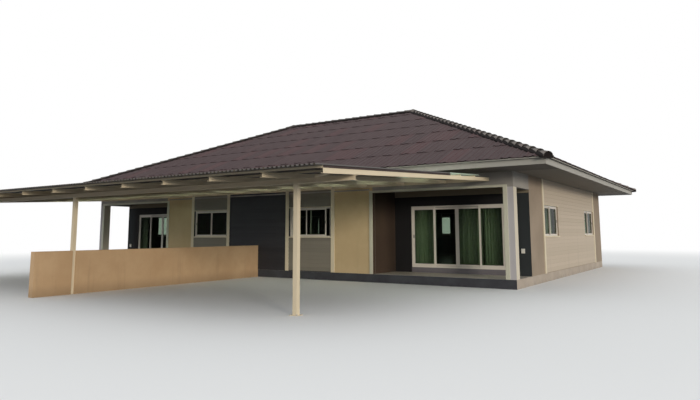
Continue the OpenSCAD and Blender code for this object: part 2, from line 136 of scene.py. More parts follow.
class Finish(Graph):
    # A material on Object coordinates, with the pattern parts that several finishes share
    def __init__(self, name, **plain):
        self.material = bpy.data.materials.new(name)
        self.material.use_nodes = True
        super().__init__(self.material.node_tree)
        self.shader = self.tree.nodes["Principled BSDF"]
        for key, value in plain.items():
            self.shader.inputs[key.replace("_", " ")].default_value = value
        self.where = self.add("ShaderNodeTexCoord", output="Object")
        split = self.add("ShaderNodeSeparateXYZ", {}, [self.where])
        self.x = split.pick("X")
        self.y = split.pick("Y")
        self.z = split.pick("Z")

    def noise(self, scale, detail, rough, stretch=(1.0, 1.0, 1.0)):
        place = self.add("ShaderNodeVectorMath", {"operation": "MULTIPLY"}, [self.where, stretch])
        return self.add("ShaderNodeTexNoise", {"noise_dimensions": "3D"},
                        {"Vector": place, "Scale": scale, "Detail": detail, "Roughness": rough})

    def step(self, value, low, high):
        # A soft step from 0 at low to 1 at high
        return self.add("ShaderNodeMapRange", {"interpolation_type": "SMOOTHSTEP"},
                        {"Value": value, "From Min": low, "From Max": high})

    def blend(self, factor, first, second):
        return self.add("ShaderNodeMix", {"data_type": "RGBA"}, {0: factor, 6: first, 7: second},
                        output=2)

    def mottle(self, broad, name):
        # A paint's two shades in clouds with soft edges
        return self.blend(self.step(broad, 0.3, 0.7), *shades(name))

    def darken(self, colour, factor):
        grey = self.add("ShaderNodeCombineColor", {}, [factor, factor, factor])
        return self.add("ShaderNodeVectorMath", {"operation": "MULTIPLY"}, [colour, grey])

    def lineGap(self, value, pitch, shift=0.0):
        # How far a coordinate is from the nearest line of a row: 0 on a line
        return (value + shift).work("PINGPONG", pitch / 2)

    def attribute(self, name):
        return self.add("ShaderNodeAttribute", {"attribute_name": name}, output="Fac")

    def upward(self):
        # How far a face looks up: 1 on level ground, -1 on a ceiling
        normal = self.add("ShaderNodeNewGeometry", output="Normal")
        return self.add("ShaderNodeSeparateXYZ", {}, [normal]).pick("Z")

    def paint(self, colour):
        self.join(colour, self.shader.inputs["Base Color"])

    def roughen(self, value):
        self.join(value, self.shader.inputs["Roughness"])

    def end(self, colour, rough, height, distance):
        # Colour, roughness and relief, with which nearly every finish ends
        self.paint(colour)
        self.roughen(rough)
        bump = self.add("ShaderNodeBump", {},
                        {"Strength": 1.0, "Distance": distance, "Height": height})
        self.join(bump, self.shader.inputs["Normal"])
        return self

    def cover(self, factor, other):
        # Another shader over the main one, where the factor is 1
        main = Wire(self, self.shader.outputs["BSDF"])
        mixed = self.add("ShaderNodeMixShader", {}, [factor, main, other])
        self.join(mixed, self.tree.nodes["Material Output"].inputs["Surface"])


# The frame is 700 by 400. The focal length and the row that the camera looks at are in its pixels
camera = {"place": (14.9879, -22.8672, 1.5998), "yaw": 33.217, "pitch": 7.243, "roll": -0.198,
          "frame": (700, 400), "focal": 579.98, "middleRow": 159.25, "sensor": 36, "farEnd": 400}


def makeCamera(sizes):
    yaw, pitch, roll = (math.radians(sizes[k]) for k in ("yaw", "pitch", "roll"))
    side = Vector((math.cos(yaw), math.sin(yaw), 0))
    level = Vector((-math.sin(yaw), math.cos(yaw), 0))
    ahead = level * math.cos(pitch) + Vector((0, 0, math.sin(pitch)))
    over = level * -math.sin(pitch) + Vector((0, 0, math.cos(pitch)))
    right = side * math.cos(roll) + over * math.sin(roll)
    up = over * math.cos(roll) - side * math.sin(roll)
    wide, high = sizes["frame"]
    data = bpy.data.cameras.new("camera")
    data.sensor_width = sizes["sensor"]
    data.lens = sizes["sensor"] * sizes["focal"] / wide
    data.shift_y = (sizes["middleRow"] - high / 2) / wide
    data.clip_end = sizes["farEnd"]
    made = bpy.data.objects.new("camera", data)
    bpy.context.scene.collection.objects.link(made)
    turn = Matrix((right, up, -ahead)).transposed().to_4x4()
    made.matrix_world = Matrix.Translation(sizes["place"]) @ turn
    bpy.context.scene.camera = made


makeCamera(camera)
print("camera made")

# Sky and sun, the pale floor, and where the floor fades into the white behind it
light = {"overhead": 0.95, "horizon": 0.66, "skyFall": 1.4, "skyColour": (0.95, 0.98, 1.0, 1.0),
         "sun": 1.80, "sunColour": (1.0, 0.92, 0.80), "sunFrom": (0.82, -0.55, 0.15),
         "sunSpread": 11.0, "floor": 0.80, "floorBounce": 0.15, "fadeStart": 19.0,
         "fadeEnd": 40.0, "floorReach": 150.0}
plainWhite = (1.0, 1.0, 1.0, 1.0)


def seenRays(graph):
    # 1 for what the camera sees, itself, in a gloss or through glass; and the node it comes from
    path = graph.add("ShaderNodeLightPath")
    seen = path.pick("Is Camera Ray").work("MAXIMUM", path.pick("Is Glossy Ray"))
    return seen.work("MAXIMUM", path.pick("Is Transmission Ray")), path


def makeWorld(sizes):
    world = bpy.data.worlds.new("studio")
    bpy.context.scene.world = world
    world.use_nodes = True
    graph = Graph(world.node_tree)
    world.node_tree.nodes.clear()
    seen, _ = seenRays(graph)
    # A little brighter overhead than low down, as under a wide soft box
    ray = graph.add("ShaderNodeTexCoord", output="Generated")
    height = abs(graph.add("ShaderNodeSeparateXYZ", {}, [ray]).pick("Z"))
    change = sizes["horizon"] - sizes["overhead"]
    strength = (1.0 - height) ** sizes["skyFall"] * change + sizes["overhead"]
    dim = graph.add("ShaderNodeBackground", {}, {"Color": sizes["skyColour"], "Strength": strength})
    white = graph.add("ShaderNodeBackground", {}, {"Color": plainWhite, "Strength": 1.0})
    mixed = graph.add("ShaderNodeMixShader", {}, [seen, dim, white])
    graph.add("ShaderNodeOutputWorld", {}, [mixed])


def makeSun(sizes):
    data = bpy.data.lights.new("sun", "SUN")
    data.energy = sizes["sun"]
    data.color = sizes["sunColour"]
    data.angle = math.radians(sizes["sunSpread"])
    made = bpy.data.objects.new("sun", data)
    bpy.context.scene.collection.objects.link(made)
    made.rotation_euler = Vector(sizes["sunFrom"]).to_track_quat("Z", "Y").to_euler()


def makeFloor(sizes):
    reach = sizes["floorReach"]
    corners = [(-reach, -reach, 0), (reach, -reach, 0), (reach, reach, 0), (-reach, reach, 0)]
    mesh = bpy.data.meshes.new("studio_floor")
    mesh.from_pydata(corners, [], [(0, 1, 2, 3)])
    floor = bpy.data.objects.new("studio_floor", mesh)
    bpy.context.scene.collection.objects.link(floor)
    pale = Finish("studioFloor", Roughness=0.9, Specular_IOR_Level=0.1)
    # The floor that is seen is pale, and the one that lights the object from below is plain grey
    seen, path = seenRays(pale)
    bounce, shown = ((sizes[key],) * 3 + (1.0,) for key in ("floorBounce", "floor"))
    pale.paint(pale.blend(seen, bounce, shown))
    away = (pale.x * pale.x + pale.y * pale.y).work("SQRT")
    fade = pale.step(away, sizes["fadeStart"], sizes["fadeEnd"])
    glow = pale.add("ShaderNodeEmission", {}, {"Color": plainWhite, "Strength": 1.0})
    pale.cover(fade * path.pick("Is Camera Ray"), glow)
    mesh.materials.append(pale.material)


makeWorld(light)
makeSun(light)
makeFloor(light)
bpy.context.scene.view_settings.view_transform = "Standard"
print("light and floor made")


def addBox(bm, low, high, matrix=None):
    (x0, y0, z0), (x1, y1, z1) = low, high
    corners = [(x0, y0, z0), (x1, y0, z0), (x1, y1, z0), (x0, y1, z0),
               (x0, y0, z1), (x1, y0, z1), (x1, y1, z1), (x0, y1, z1)]
    sides = [(0, 3, 2, 1), (4, 5, 6, 7), (0, 1, 5, 4), (1, 2, 6, 5), (2, 3, 7, 6), (3, 0, 4, 7)]
    points = [bm.verts.new(matrix @ Vector(c) if matrix else c) for c in corners]
    for side in sides:
        bm.faces.new([points[i] for i in side])


def addPlate(bm, x, half, near, far, heights, matrix):
    # A small upright block: half its width to either side of x, between two depths
    addBox(bm, (x - half, near, heights[0]), (x + half, far, heights[1]), matrix)


def addBand(bm, near, far):
    # Faces all the way round between two rings
    for i in range(len(near)):
        j = (i + 1) % len(near)
        bm.faces.new([near[i], near[j], far[j], far[i]])


def addPrism(bm, outline, start, end, across, up):
    # An outline drawn on two axes, run from start to end
    start, end, across, up = Vector(start), Vector(end), Vector(across), Vector(up)
    near = [bm.verts.new(start + across * a + up * b) for a, b in outline]
    far = [bm.verts.new(end + across * a + up * b) for a, b in outline]
    addBand(bm, near, far)
    bm.faces.new(near[::-1])
    bm.faces.new(far)


def addFrame(bm, low, high, bar, matrix=None):
    # Four bars round an upright opening in the XZ plane, with butt joints
    (x0, y0, z0), (x1, y1, z1) = low, high
    addBox(bm, (x0, y0, z0), (x0 + bar, y1, z1), matrix)
    addBox(bm, (x1 - bar, y0, z0), (x1, y1, z1), matrix)
    addBox(bm, (x0 + bar, y0, z0), (x1 - bar, y1, z0 + bar), matrix)
    addBox(bm, (x0 + bar, y0, z1 - bar), (x1 - bar, y1, z1), matrix)


def addRound(bm, centre, axis, radius, length, sides=16, tip=None):
    # A short turned piece along an axis; tip is the far end's radius
    axis = Vector(axis).normalized()
    across = axis.orthogonal().normalized()
    up = axis.cross(across)
    tip = radius if tip is None else tip
    turns = [2 * math.pi * i / sides for i in range(sides)]
    spokes = [across * math.cos(t) + up * math.sin(t) for t in turns]
    near = [bm.verts.new(Vector(centre) + spoke * radius) for spoke in spokes]
    far = [bm.verts.new(Vector(centre) + axis * length + spoke * tip) for spoke in spokes]
    addBand(bm, near, far)
    bm.faces.new(near[::-1])
    bm.faces.new(far)


def bevelAll(bm, width, segments=2):
    bmesh.ops.bevel(bm, geom=list(bm.edges), offset=width, segments=segments, affect="EDGES",
                    profile=0.6, clamp_overlap=True)


def placePiece(mesh, name, body="house", smooth=False):
    mesh.polygons.foreach_set("use_smooth", [smooth] * len(mesh.polygons))
    piece = bpy.data.objects.new(name, mesh)
    bpy.context.scene.collection.objects.link(piece)
    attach(piece, body)
    return piece


def endPiece(bm, name, finish, body="house", smooth=False):
    bmesh.ops.recalc_face_normals(bm, faces=bm.faces)
    mesh = bpy.data.meshes.new(name)
    bm.to_mesh(mesh)
    bm.free()
    mesh.materials.append(finish.material)
    return placePiece(mesh, name, body, smooth)


def toolMesh(bm, name, turned=True):
    # A shape that the node trees repeat; it isn't shown itself
    if turned:
        bmesh.ops.recalc_face_normals(bm, faces=bm.faces)
    mesh = bpy.data.meshes.new(name)
    bm.to_mesh(mesh)
    bm.free()
    return bpy.data.objects.new(name, mesh)


def newTree(name, inputs):
    # A Geometry Nodes tree with named inputs
    tree = bpy.data.node_groups.new(name, "GeometryNodeTree")
    for label, (kind, value) in inputs.items():
        item = tree.interface.new_socket(name=label, in_out="INPUT",
                                         socket_type="NodeSocket" + kind)
        if value is not None:
            item.default_value = value
    tree.interface.new_socket(name="Geometry", in_out="OUTPUT", socket_type="NodeSocketGeometry")
    graph = Graph(tree)
    given = graph.add("NodeGroupInput")
    return tree, graph, given


def endTree(graph, given, spots, scale=None):
    # Puts the shape on the spots, turns it, lets it wander a little, and gives each copy a shade
    shape = graph.add("GeometryNodeObjectInfo", {}, {"Object": given.pick("Shape")}, "Geometry")
    turn = graph.add("FunctionNodeEulerToRotation", {}, [given.pick("Turn")])
    values = {"Points": spots, "Instance": shape, "Rotation": turn}
    if scale is not None:
        values["Scale"] = scale
    copies = graph.add("GeometryNodeInstanceOnPoints", {}, values)
    wander = given.pick("Wander")
    low = graph.add("ShaderNodeCombineXYZ", {}, [-wander, -wander, -wander])
    high = graph.add("ShaderNodeCombineXYZ", {}, [wander, wander, wander])
    shift = graph.add("FunctionNodeRandomValue", {"data_type": "FLOAT_VECTOR"},
                      {0: low, 1: high, "Seed": given.pick("Seed")})
    moved = graph.add("GeometryNodeTranslateInstances", {},
                      {"Instances": copies, "Translation": shift})
    shade = graph.add("FunctionNodeRandomValue", {"data_type": "FLOAT"},
                      {2: 0.0, 3: 1.0, "Seed": given.pick("Seed") + 7}, output=1)
    marked = graph.add("GeometryNodeStoreNamedAttribute",
                       {"data_type": "FLOAT", "domain": "INSTANCE"},
                       {"Geometry": moved, "Name": "shade", "Value": shade})
    real = graph.add("GeometryNodeRealizeInstances", {}, {"Geometry": marked})
    done = graph.add("GeometryNodeSetMaterial", {},
                     {"Geometry": real, "Material": given.pick("Finish")})
    graph.add("NodeGroupOutput", {}, {"Geometry": done})


commonInputs = {"Shape": ("Object", None), "Turn": ("Vector", (0.0, 0.0, 0.0)),
                "Wander": ("Float", 0.0), "Seed": ("Int", 1), "Finish": ("Material", None)}


def makeCourseTree():
    # Courses of sheets: columns along X, courses along Y
    tree, graph, given = newTree("sheetCourses", {
        "Columns": ("Int", 10), "Courses": ("Int", 5), "Column Step": ("Float", 0.45),
        "Course Step": ("Float", 1.3), "Start": ("Vector", (0.0, 0.0, 0.0)), **commonInputs})
    wide = (given.pick("Columns") - 1) * given.pick("Column Step")
    high = (given.pick("Courses") - 1) * given.pick("Course Step")
    grid = graph.add("GeometryNodeMeshGrid", {}, {
        "Size X": wide, "Size Y": high,
        "Vertices X": given.pick("Columns"), "Vertices Y": given.pick("Courses")})
    middle = graph.add("ShaderNodeCombineXYZ", {}, [wide / 2, high / 2, 0.0])
    shift = graph.add("ShaderNodeVectorMath", {"operation": "ADD"}, [middle, given.pick("Start")])
    spots = graph.add("GeometryNodeTransform", {}, {"Geometry": grid, "Translation": shift})
    endTree(graph, given, spots)
    return tree


def makeRowTree():
    # One row of copies from a start, by a step, each stretched along its own X
    tree, graph, given = newTree("evenRow", {
        "Count": ("Int", 10), "Start": ("Vector", (0.0, 0.0, 0.0)),
        "Step": ("Vector", (0.0, 0.0, 0.13)), "Length": ("Float", 1.0), **commonInputs})
    spots = graph.add("GeometryNodeMeshLine", {"mode": "OFFSET"},
                      {"Count": given.pick("Count"), "Start Location": given.pick("Start"),
                       "Offset": given.pick("Step")})
    size = graph.add("ShaderNodeCombineXYZ", {}, [given.pick("Length"), 1.0, 1.0])
    endTree(graph, given, spots, size)
    return tree


courseTree = makeCourseTree()
rowTree = makeRowTree()


def grow(tree, values):
    # Runs a tree with these inputs and gives back its plain mesh
    base = bpy.data.objects.new("grown", bpy.data.meshes.new("grown"))
    bpy.context.scene.collection.objects.link(base)
    modifier = base.modifiers.new("grown", "NODES")
    modifier.node_group = tree
    for item in tree.interface.items_tree:
        if item.in_out == "INPUT" and item.name in values:
            value = values[item.name]
            modifier[item.identifier] = value.material if isinstance(value, Finish) else value
    bpy.context.view_layer.update()
    evaluated = base.evaluated_get(bpy.context.evaluated_depsgraph_get())
    mesh = bpy.data.meshes.new_from_object(evaluated)
    base.modifiers.clear()
    bpy.data.objects.remove(base)
    return mesh


def growRow(shape, count, start, step, finish, seed, **more):
    return grow(rowTree, {"Shape": shape, "Count": count, "Start": start, "Step": step,
                          "Finish": finish, "Seed": seed, **more})


def joinMeshes(meshes, name):
    # Joins grown meshes, with their attributes, into the first of them
    made = [bpy.data.objects.new(name, mesh) for mesh in meshes]
    for piece in made:
        bpy.context.scene.collection.objects.link(piece)
    if len(made) > 1:
        with bpy.context.temp_override(active_object=made[0], object=made[0],
                                       selected_objects=made, selected_editable_objects=made):
            bpy.ops.object.join()
    mesh = made[0].data
    bpy.data.objects.remove(made[0])
    return mesh


def endGrown(meshes, name):
    # Grown meshes bring their own finish, and all of them ride on the house
    return placePiece(joinMeshes(meshes, name), name)


def cutMesh(mesh, planes):
    # Keeps what lies behind each plane, and closes the cuts
    bm = bmesh.new()
    bm.from_mesh(mesh)
    for point, normal in planes:
        everything = list(bm.verts) + list(bm.edges) + list(bm.faces)
        bmesh.ops.bisect_plane(bm, geom=everything, dist=1e-6, plane_co=point, plane_no=normal,
                               clear_outer=True)
        rim = [e for e in bm.edges if e.is_boundary]
        if rim:
            bmesh.ops.holes_fill(bm, edges=rim, sides=0)
    bm.to_mesh(mesh)
    bm.free()
    return mesh


def tone(code, strength=1.0):
    # A colour as it looks on screen, such as "8b7a62", as linear values
    parts = [int(code[i:i + 2], 16) / 255 for i in (0, 2, 4)]
    linear = [c / 12.92 if c <= 0.04045 else ((c + 0.055) / 1.055) ** 2.4 for c in parts]
    return (linear[0] * strength, linear[1] * strength, linear[2] * strength, 1.0)


# The colours of every finish, as they look on screen. Most finishes mix two close shades
paints = {
    "plinthFace": ("33343a", "414349"), "plinthSide": ("a3978a", "b1a598"),
    "porchTile": ("aba396", "c0b8aa"), "porchJoint": ("77726a",), "nosing": ("d6d2cb",),
    "floorTile": ("bdb39f", "cfc7b6"), "floorJoint": ("8b8375",), "doorStep": ("5c585c", "6b666a"),
    "plaster": ("827e78", "8a8680"), "charcoal": ("29292d", "2f2f34"),
    "beige": ("c3ac86", "cdb790"), "houseEnd": ("918373", "9d8e7e"),
    "porchReturn": ("42352c", "4a3c31"), "porchWallShade": ("1b1a1b", "201f20"),
    "porchEnd": ("2f3234", "363a3c"), "porchHead": ("7e7463", "877d6a"),
    "columnFrontShade": ("afabae", "bcb8ba"), "columnOther": ("c9c0af", "d6cfbd"),
    "whiteTrim": ("d4c8ae", "ded3ba"), "porchTrim": ("c2bfac", "cbc9b7"),
    "greyRender": ("8f8b86", "9a968f"),
    "bayBoards": ("7a756b", "837e73"), "centreBoards": ("28282d", "2f2f34"),
    "creamBoards": ("b3a694", "beb09f"), "whiteAluminium": ("c9c2b8", "d4cdc3"),
    "sideBoards": ("665f56", "6f695f"), "shadedBoards": ("433d37", "4b453e"),
    "fascia": ("95928b", "a29f97"), "roofPlate": ("241f20", "2c2727"),
    "roofSheet": ("403335", "4a3b3c", "4e3638"), "roofCap": ("7b726c", "8d847e", "7b6a66"),
    "capBedding": ("1e1a1a", "272222", "241d1d"), "creamSteel": ("d1c2a6", "dcceb3"),
    "litTieSteel": ("eedcc0", "f4e6cc"), "rust": ("8a6a4c",), "sheetAbove": ("413c39", "4b4642"),
    "sheetUndersideShade": ("1d1917", "25211e"), "clearSheet": ("e2f0e2", "eef8ec"),
    "tanRender": ("b99975", "c5a682"), "ribPlug": ("2a2622", "5e574a"),
    "blackRubber": ("161616", "242424"), "curtain": ("909684", "a4aa96"),
    "curtainStripe": ("767e6c",), "endPlate": ("3a2a28",), "zincBolts": ("9a9a98",),
    "darkLatch": ("2c2c2e",), "railWhite": ("cfccc4",), "boxPlastic": ("d8d5cc",),
}
glassTint = (0.42, 0.49, 0.42, 1.0)

# Where one paint ends and the next begins: from low to high along X, Y or Z, in metres
paintEdges = {"openEnd": (9.1, 9.6), "porchHead": (2.815, 2.825), "porchCorner": (-5.85, -5.0),
              "returnHead": (2.1, 2.8), "splash": (0.0, 0.16), "capShadeEdge": (3.0, 3.7),
              "curtainHeadShade": (1.55, 2.45)}
outerFace = 0.005  # a face this near to the house's outside counts as outside
plasterFace = house["wall"] - 0.01  # and one this far in is plastered


def shades(name):
    return [tone(code) for code in paints[name]]


def rainStreaks(made, colour, amount, low, high):
    # Faint runs of dirt down a wall, stronger towards the foot
    runs = made.noise(3.2, 4.0, 0.65, (1.0, 1.0, 0.06))
    depth = made.step(runs, 0.52, 0.78) * (1.0 - made.step(made.z, low, high)) * amount
    return made.darken(colour, 1.0 - depth)


def plinthFinish():
    # Dark at the front and the back, pale at the ends, and tiled on top, where the porches are
    made = Finish("plinthConcrete")
    broad = made.noise(1.4, 5.0, 0.62)
    fine = made.noise(70.0, 3.0, 0.7)
    face = made.mottle(broad, "plinthFace")
    side = made.mottle(broad, "plinthSide")
    colour = made.blend(abs(made.x) > house["halfWidth"] - outerFace, face, side)
    colour = made.blend(abs(made.y) > house["back"] - outerFace, colour, face)
    gap = made.lineGap(made.x, 0.3).work("MINIMUM", made.lineGap(made.y, 0.3, 0.1))
    joint = 1.0 - made.step(gap, 0.0015, 0.0032)
    tile = made.blend(made.noise(5.0, 6.0, 0.7), *shades("porchTile"))
    tile = made.blend(joint, tile, *shades("porchJoint"))
    # A pale nosing, 60 mm deep, along the porch's edge
    tile = made.blend(made.y < house["front"] + 0.06, tile, *shades("nosing"))
    top = made.z > house["plinthTop"] - 0.0015
    colour = made.blend(top, colour, tile)
    splash = made.step(made.noise(6.0, 5.0, 0.7, (1.0, 1.0, 0.5)), 0.4, 0.75)
    dirt = (1.0 - made.step(made.z, *paintEdges["splash"])) * splash * 0.35
    colour = made.darken(colour, (0.94 + fine * 0.12) * (1.0 - dirt))
    return made.end(colour, 0.82 - top * 0.36 + joint * top * 0.3,
                    fine * (1.0 - top) + broad * 0.4 - joint * top, 0.0012)


def floorTileFinish():
    made = Finish("floorTile")
    gap = made.lineGap(made.x, 0.6).work("MINIMUM", made.lineGap(made.y, 0.6, 0.2))
    joint = 1.0 - made.step(gap, 0.001, 0.0025)
    veins = made.noise(2.4, 8.0, 0.72)
    colour = made.blend(made.step(veins, 0.35, 0.7), *shades("floorTile"))
    colour = made.blend(joint, colour, *shades("floorJoint"))
    # The step under the doors is bare grey concrete
    step = (made.z < house["floorTop"] - 0.0005) * (made.y < house["porchBack"] + 0.17)
    return made.end(made.blend(step, colour, made.blend(veins, *shades("doorStep"))),
                    0.22 + joint * 0.5, 1.0 - joint, 0.0008)


def outerWall(name, inner, outerColour):
    # A rendered wall: its outside as given, its room side in plaster painted mid grey as painted
    # shade inside the rooms
    made = Finish(name, Specular_IOR_Level=0.2)
    broad = made.noise(0.9, 5.0, 0.6)
    fine = made.noise(60.0, 4.0, 0.65)
    colour = outerColour(made, broad)
    colour = rainStreaks(made, colour, 0.12, 0.3, 2.8)
    colour = made.blend(inner(made), colour, made.blend(broad, *shades("plaster")))
    return made.end(made.darken(colour, 0.955 + fine * 0.09), 0.78 + broad * 0.12,
                    fine + broad * 1.5, 0.0009)


def frontColour(made, broad):
    dark = made.mottle(broad, "charcoal")
    colour = made.blend(abs(made.x) > bayEdge, dark, made.mottle(broad, "beige"))
    # The wall's ends at the porches are painted as the return walls are
    atPorch = abs(made.x) > house["porchEdge"] - 0.0015
    return made.blend(atPorch, colour, made.blend(broad, *shades("porchReturn")))


def porchColour(made, broad):
    # Painted shade: the porch's back walls are painted darker than the charcoal, and lighter
    # towards the open side where the light comes in
    openEnd = made.step(abs(made.x), *paintEdges["openEnd"])
    dark = made.mottle(broad, "porchWallShade")
    dark = made.blend(openEnd, dark, made.blend(broad, *shades("porchEnd")))
    # A paler strip runs along the top of the wall, under the porch's ceiling
    strip = made.step(made.z, *paintEdges["porchHead"])
    dark = made.blend(strip, dark, made.blend(broad, *shades("porchHead")))
    atEnd = abs(made.x) > house["halfWidth"] - outerFace
    return made.blend(atEnd, dark, made.mottle(broad, "houseEnd"))


def returnColour(made, broad):
    # Painted shade: darker in the inner corner and under the ceiling
    corner = made.step(made.y, *paintEdges["porchCorner"]) * 0.45
    head = made.step(made.z, *paintEdges["returnHead"]) * 0.55
    return made.darken(made.mottle(broad, "porchReturn"), (1.0 - corner) * (1.0 - head))


def endColour(made, broad):
    return made.mottle(broad, "houseEnd")


def backColour(made, broad):
    dark = made.mottle(broad, "charcoal")
    colour = made.blend(abs(made.x) > centreEdge, dark, made.mottle(broad, "beige"))
    return made.blend(abs(made.x) > backEdge, colour, made.mottle(broad, "houseEnd"))


def trimFinish(name):
    made = Finish(name, Specular_IOR_Level=0.4)
    broad = made.noise(1.1, 4.0, 0.6)
    brush = made.noise(26.0, 3.0, 0.6, (1.0, 1.0, 0.12))
    colour = rainStreaks(made, made.blend(broad, *shades(name)), 0.16, 0.3, 2.4)
    return made.end(made.darken(colour, 0.965 + brush * 0.07), 0.52 + broad * 0.14, brush, 0.0005)


def columnFinish():
    # The corner columns: cream, with the face towards the street painted grey as painted shade
    made = Finish("columnTrim", Specular_IOR_Level=0.4)
    broad = made.noise(1.1, 4.0, 0.6)
    fine = made.noise(60.0, 4.0, 0.65)
    front = made.blend(broad, *shades("columnFrontShade"))
    other = made.blend(broad, *shades("columnOther"))
    colour = made.blend(made.y < house["front"] + 0.0005, other, front)
    colour = rainStreaks(made, colour, 0.14, 0.3, 2.4)
    return made.end(made.darken(colour, 0.96 + fine * 0.08), 0.62 + broad * 0.14, fine, 0.0006)


def greyRenderFinish():
    made = Finish("greyRender")
    broad = made.noise(1.0, 5.0, 0.6)
    fine = made.noise(60.0, 4.0, 0.65)
    return made.end(made.darken(made.mottle(broad, "greyRender"), 0.96 + fine * 0.08),
                    0.7 + broad * 0.14, fine, 0.0007)


def sidingFinish(name):
    # Painted lap boards: each has its own shade, a shallow grain along it and a few stains
    made = Finish(name, Specular_IOR_Level=0.35)
    grain = made.noise(9.0, 6.0, 0.7, (0.12, 0.12, 3.0))
    broad = made.noise(0.8, 4.0, 0.6)
    colour = made.blend(made.attribute("shade") * 0.7 + broad * 0.3, *shades(name))
    colour = rainStreaks(made, colour, 0.10, 0.3, 3.0)
    return made.end(made.darken(colour, 0.95 + grain * 0.10), 0.55 + grain * 0.2, grain, 0.0009)


def aluminiumFinish():
    made = Finish("whiteAluminium", Specular_IOR_Level=0.5)
    fine = made.noise(160.0, 2.0, 0.5)
    broad = made.noise(1.6, 4.0, 0.6)
    dust = made.noise(12.0, 5.0, 0.7)
    colour = made.blend(broad, *shades("whiteAluminium"))
    return made.end(made.darken(colour, 1.0 - made.step(dust, 0.55, 0.85) * 0.06),
                    0.32 + dust * 0.14, fine, 0.00008)


def glassFinish():
    # Tinted sheet glass that lets the sun through, with a little dust in its gloss
    made = Finish("tintedGlass", Base_Color=glassTint, Transmission_Weight=1.0, IOR=1.06)
    dust = made.noise(3.0, 5.0, 0.65)
    made.roughen(0.015 + dust * 0.02)
    shadow = made.add("ShaderNodeLightPath").pick("Is Shadow Ray")
    made.cover(shadow, made.add("ShaderNodeBsdfTransparent", {}, {"Color": glassTint}))
    return made


def boardFinish(name):
    # Soffit and ceiling boards with narrow joints
    made = Finish(name)
    gap = made.lineGap(made.x, 1.2, 0.6).work("MINIMUM", made.lineGap(made.y, 1.2, 0.1))
    joint = 1.0 - made.step(gap, 0.0015, 0.004)
    broad = made.noise(1.2, 5.0, 0.6)
    fine = made.noise(80.0, 3.0, 0.6)
    colour = made.blend(broad, *shades(name))
    return made.end(made.darken(colour, (0.97 + fine * 0.06) * (1.0 - joint * 0.45)),
                    0.72 + broad * 0.12, fine * 0.3 - joint, 0.0012)


def fasciaFinish():
    # Light grey boards in three metre lengths, grain along them
    made = Finish("fasciaPaint", Specular_IOR_Level=0.4)
    alongX = abs(made.y) > roof["reachY"] - 0.08
    run = made.x * alongX + made.y * (1.0 - alongX)
    joint = 1.0 - made.step(made.lineGap(run, 3.05, 0.4), 0.0012, 0.003)
    grain = made.noise(14.0, 6.0, 0.7, (0.1, 0.1, 2.5))
    broad = made.noise(0.9, 5.0, 0.6)
    colour = rainStreaks(made, made.blend(broad, *shades("fascia")), 0.18, 3.5, 3.62)
    return made.end(made.darken(colour, (0.95 + grain * 0.1) * (1.0 - joint * 0.55)),
                    0.5 + grain * 0.16, grain * 0.5 - joint, 0.0012)


def roofFinish(name, roughness, crown=0.0):
    # Coloured fibre-cement: every sheet or cap has its own shade, and dark spots of dirt.
    # The caps' crowns are painted darker than their flanks, and the whole ridge and the left hips
    # darker still: painted shade
    made = Finish(name, Specular_IOR_Level=0.15)
    first, second, redder = shades(name)
    own = made.attribute("shade")
    broad = made.noise(0.55, 6.0, 0.65)
    spots = made.noise(7.0, 6.0, 0.72)
    fine = made.noise(90.0, 3.0, 0.6)
    colour = made.blend(own * 0.6 + broad * 0.4, first, second)
    # About one sheet in five has faded to a redder brown
    colour = made.blend(made.step(own, 0.78, 0.84) * 0.55, colour, redder)
    dirt = made.step(spots, 0.5, 0.8)
    colour = made.darken(colour, (0.93 + fine * 0.14) * (1.0 - dirt * 0.14))
    # Painted shade: the faces marked by the butt attribute, in the gaps under raised sheets and on
    # the caps, are darkened
    colour = made.darken(colour, 1.0 - made.attribute("butt") * 0.78)
    if crown:
        crownShade = made.step(made.upward() + spots * 0.12, 0.76, 0.98) * crown
        colour = made.darken(colour, 1.0 - crownShade)
        litCaps = made.step(made.x, *paintEdges["capShadeEdge"])
        colour = made.darken(colour, 0.3 + litCaps * 0.7)
    return made.end(colour, roughness + spots * 0.2, fine * 0.6 + spots * 0.8, 0.0012)


def plateFinish():
    # The boarding under the roof sheets: dark, with its edges painted as the fascia boards are
    made = Finish("roofPlate", Specular_IOR_Level=0.2)
    broad = made.noise(0.9, 5.0, 0.6)
    grain = made.noise(14.0, 6.0, 0.7)
    dark = made.blend(broad, *shades("roofPlate"))
    pale = made.blend(broad, *shades("fascia"))
    inset = roof["drip"] - 0.0015
    edge = (abs(made.y) > roof["reachY"] + inset).work(
        "MAXIMUM", abs(made.x) > roof["reachX"] + inset)
    return made.end(made.darken(made.blend(edge, dark, pale), 0.94 + grain * 0.12),
                    0.6 + grain * 0.2, grain, 0.0008)


def steelFinish(name):
    made = Finish(name, Specular_IOR_Level=0.45)
    broad = made.noise(1.3, 5.0, 0.6)
    peel = made.noise(120.0, 2.0, 0.5)
    specks = made.noise(22.0, 6.0, 0.75)
    rusty = made.step(specks, 0.66, 0.78) * 0.35
    colour = made.blend(rusty, made.blend(broad, *shades(name)), *shades("rust"))
    return made.end(made.darken(colour, 0.97 + peel * 0.06), 0.42 + broad * 0.16, peel, 0.0003)


def darkSheetFinish():
    # Coil-coated sheet: grey above with rain dust; its underside painted near black as painted
    # shade
    made = Finish("darkSheet", Specular_IOR_Level=0.45)
    broad = made.noise(0.8, 5.0, 0.6)
    runs = made.noise(5.0, 5.0, 0.7, (1.0, 0.05, 1.0))
    above = made.blend(broad, *shades("sheetAbove"))
    below = made.blend(broad, *shades("sheetUndersideShade"))
    colour = made.blend(made.step(made.upward(), -0.1, 0.1), below, above)
    return made.end(made.darken(colour, 0.92 + runs * 0.16), 0.36 + runs * 0.2, runs, 0.0004)


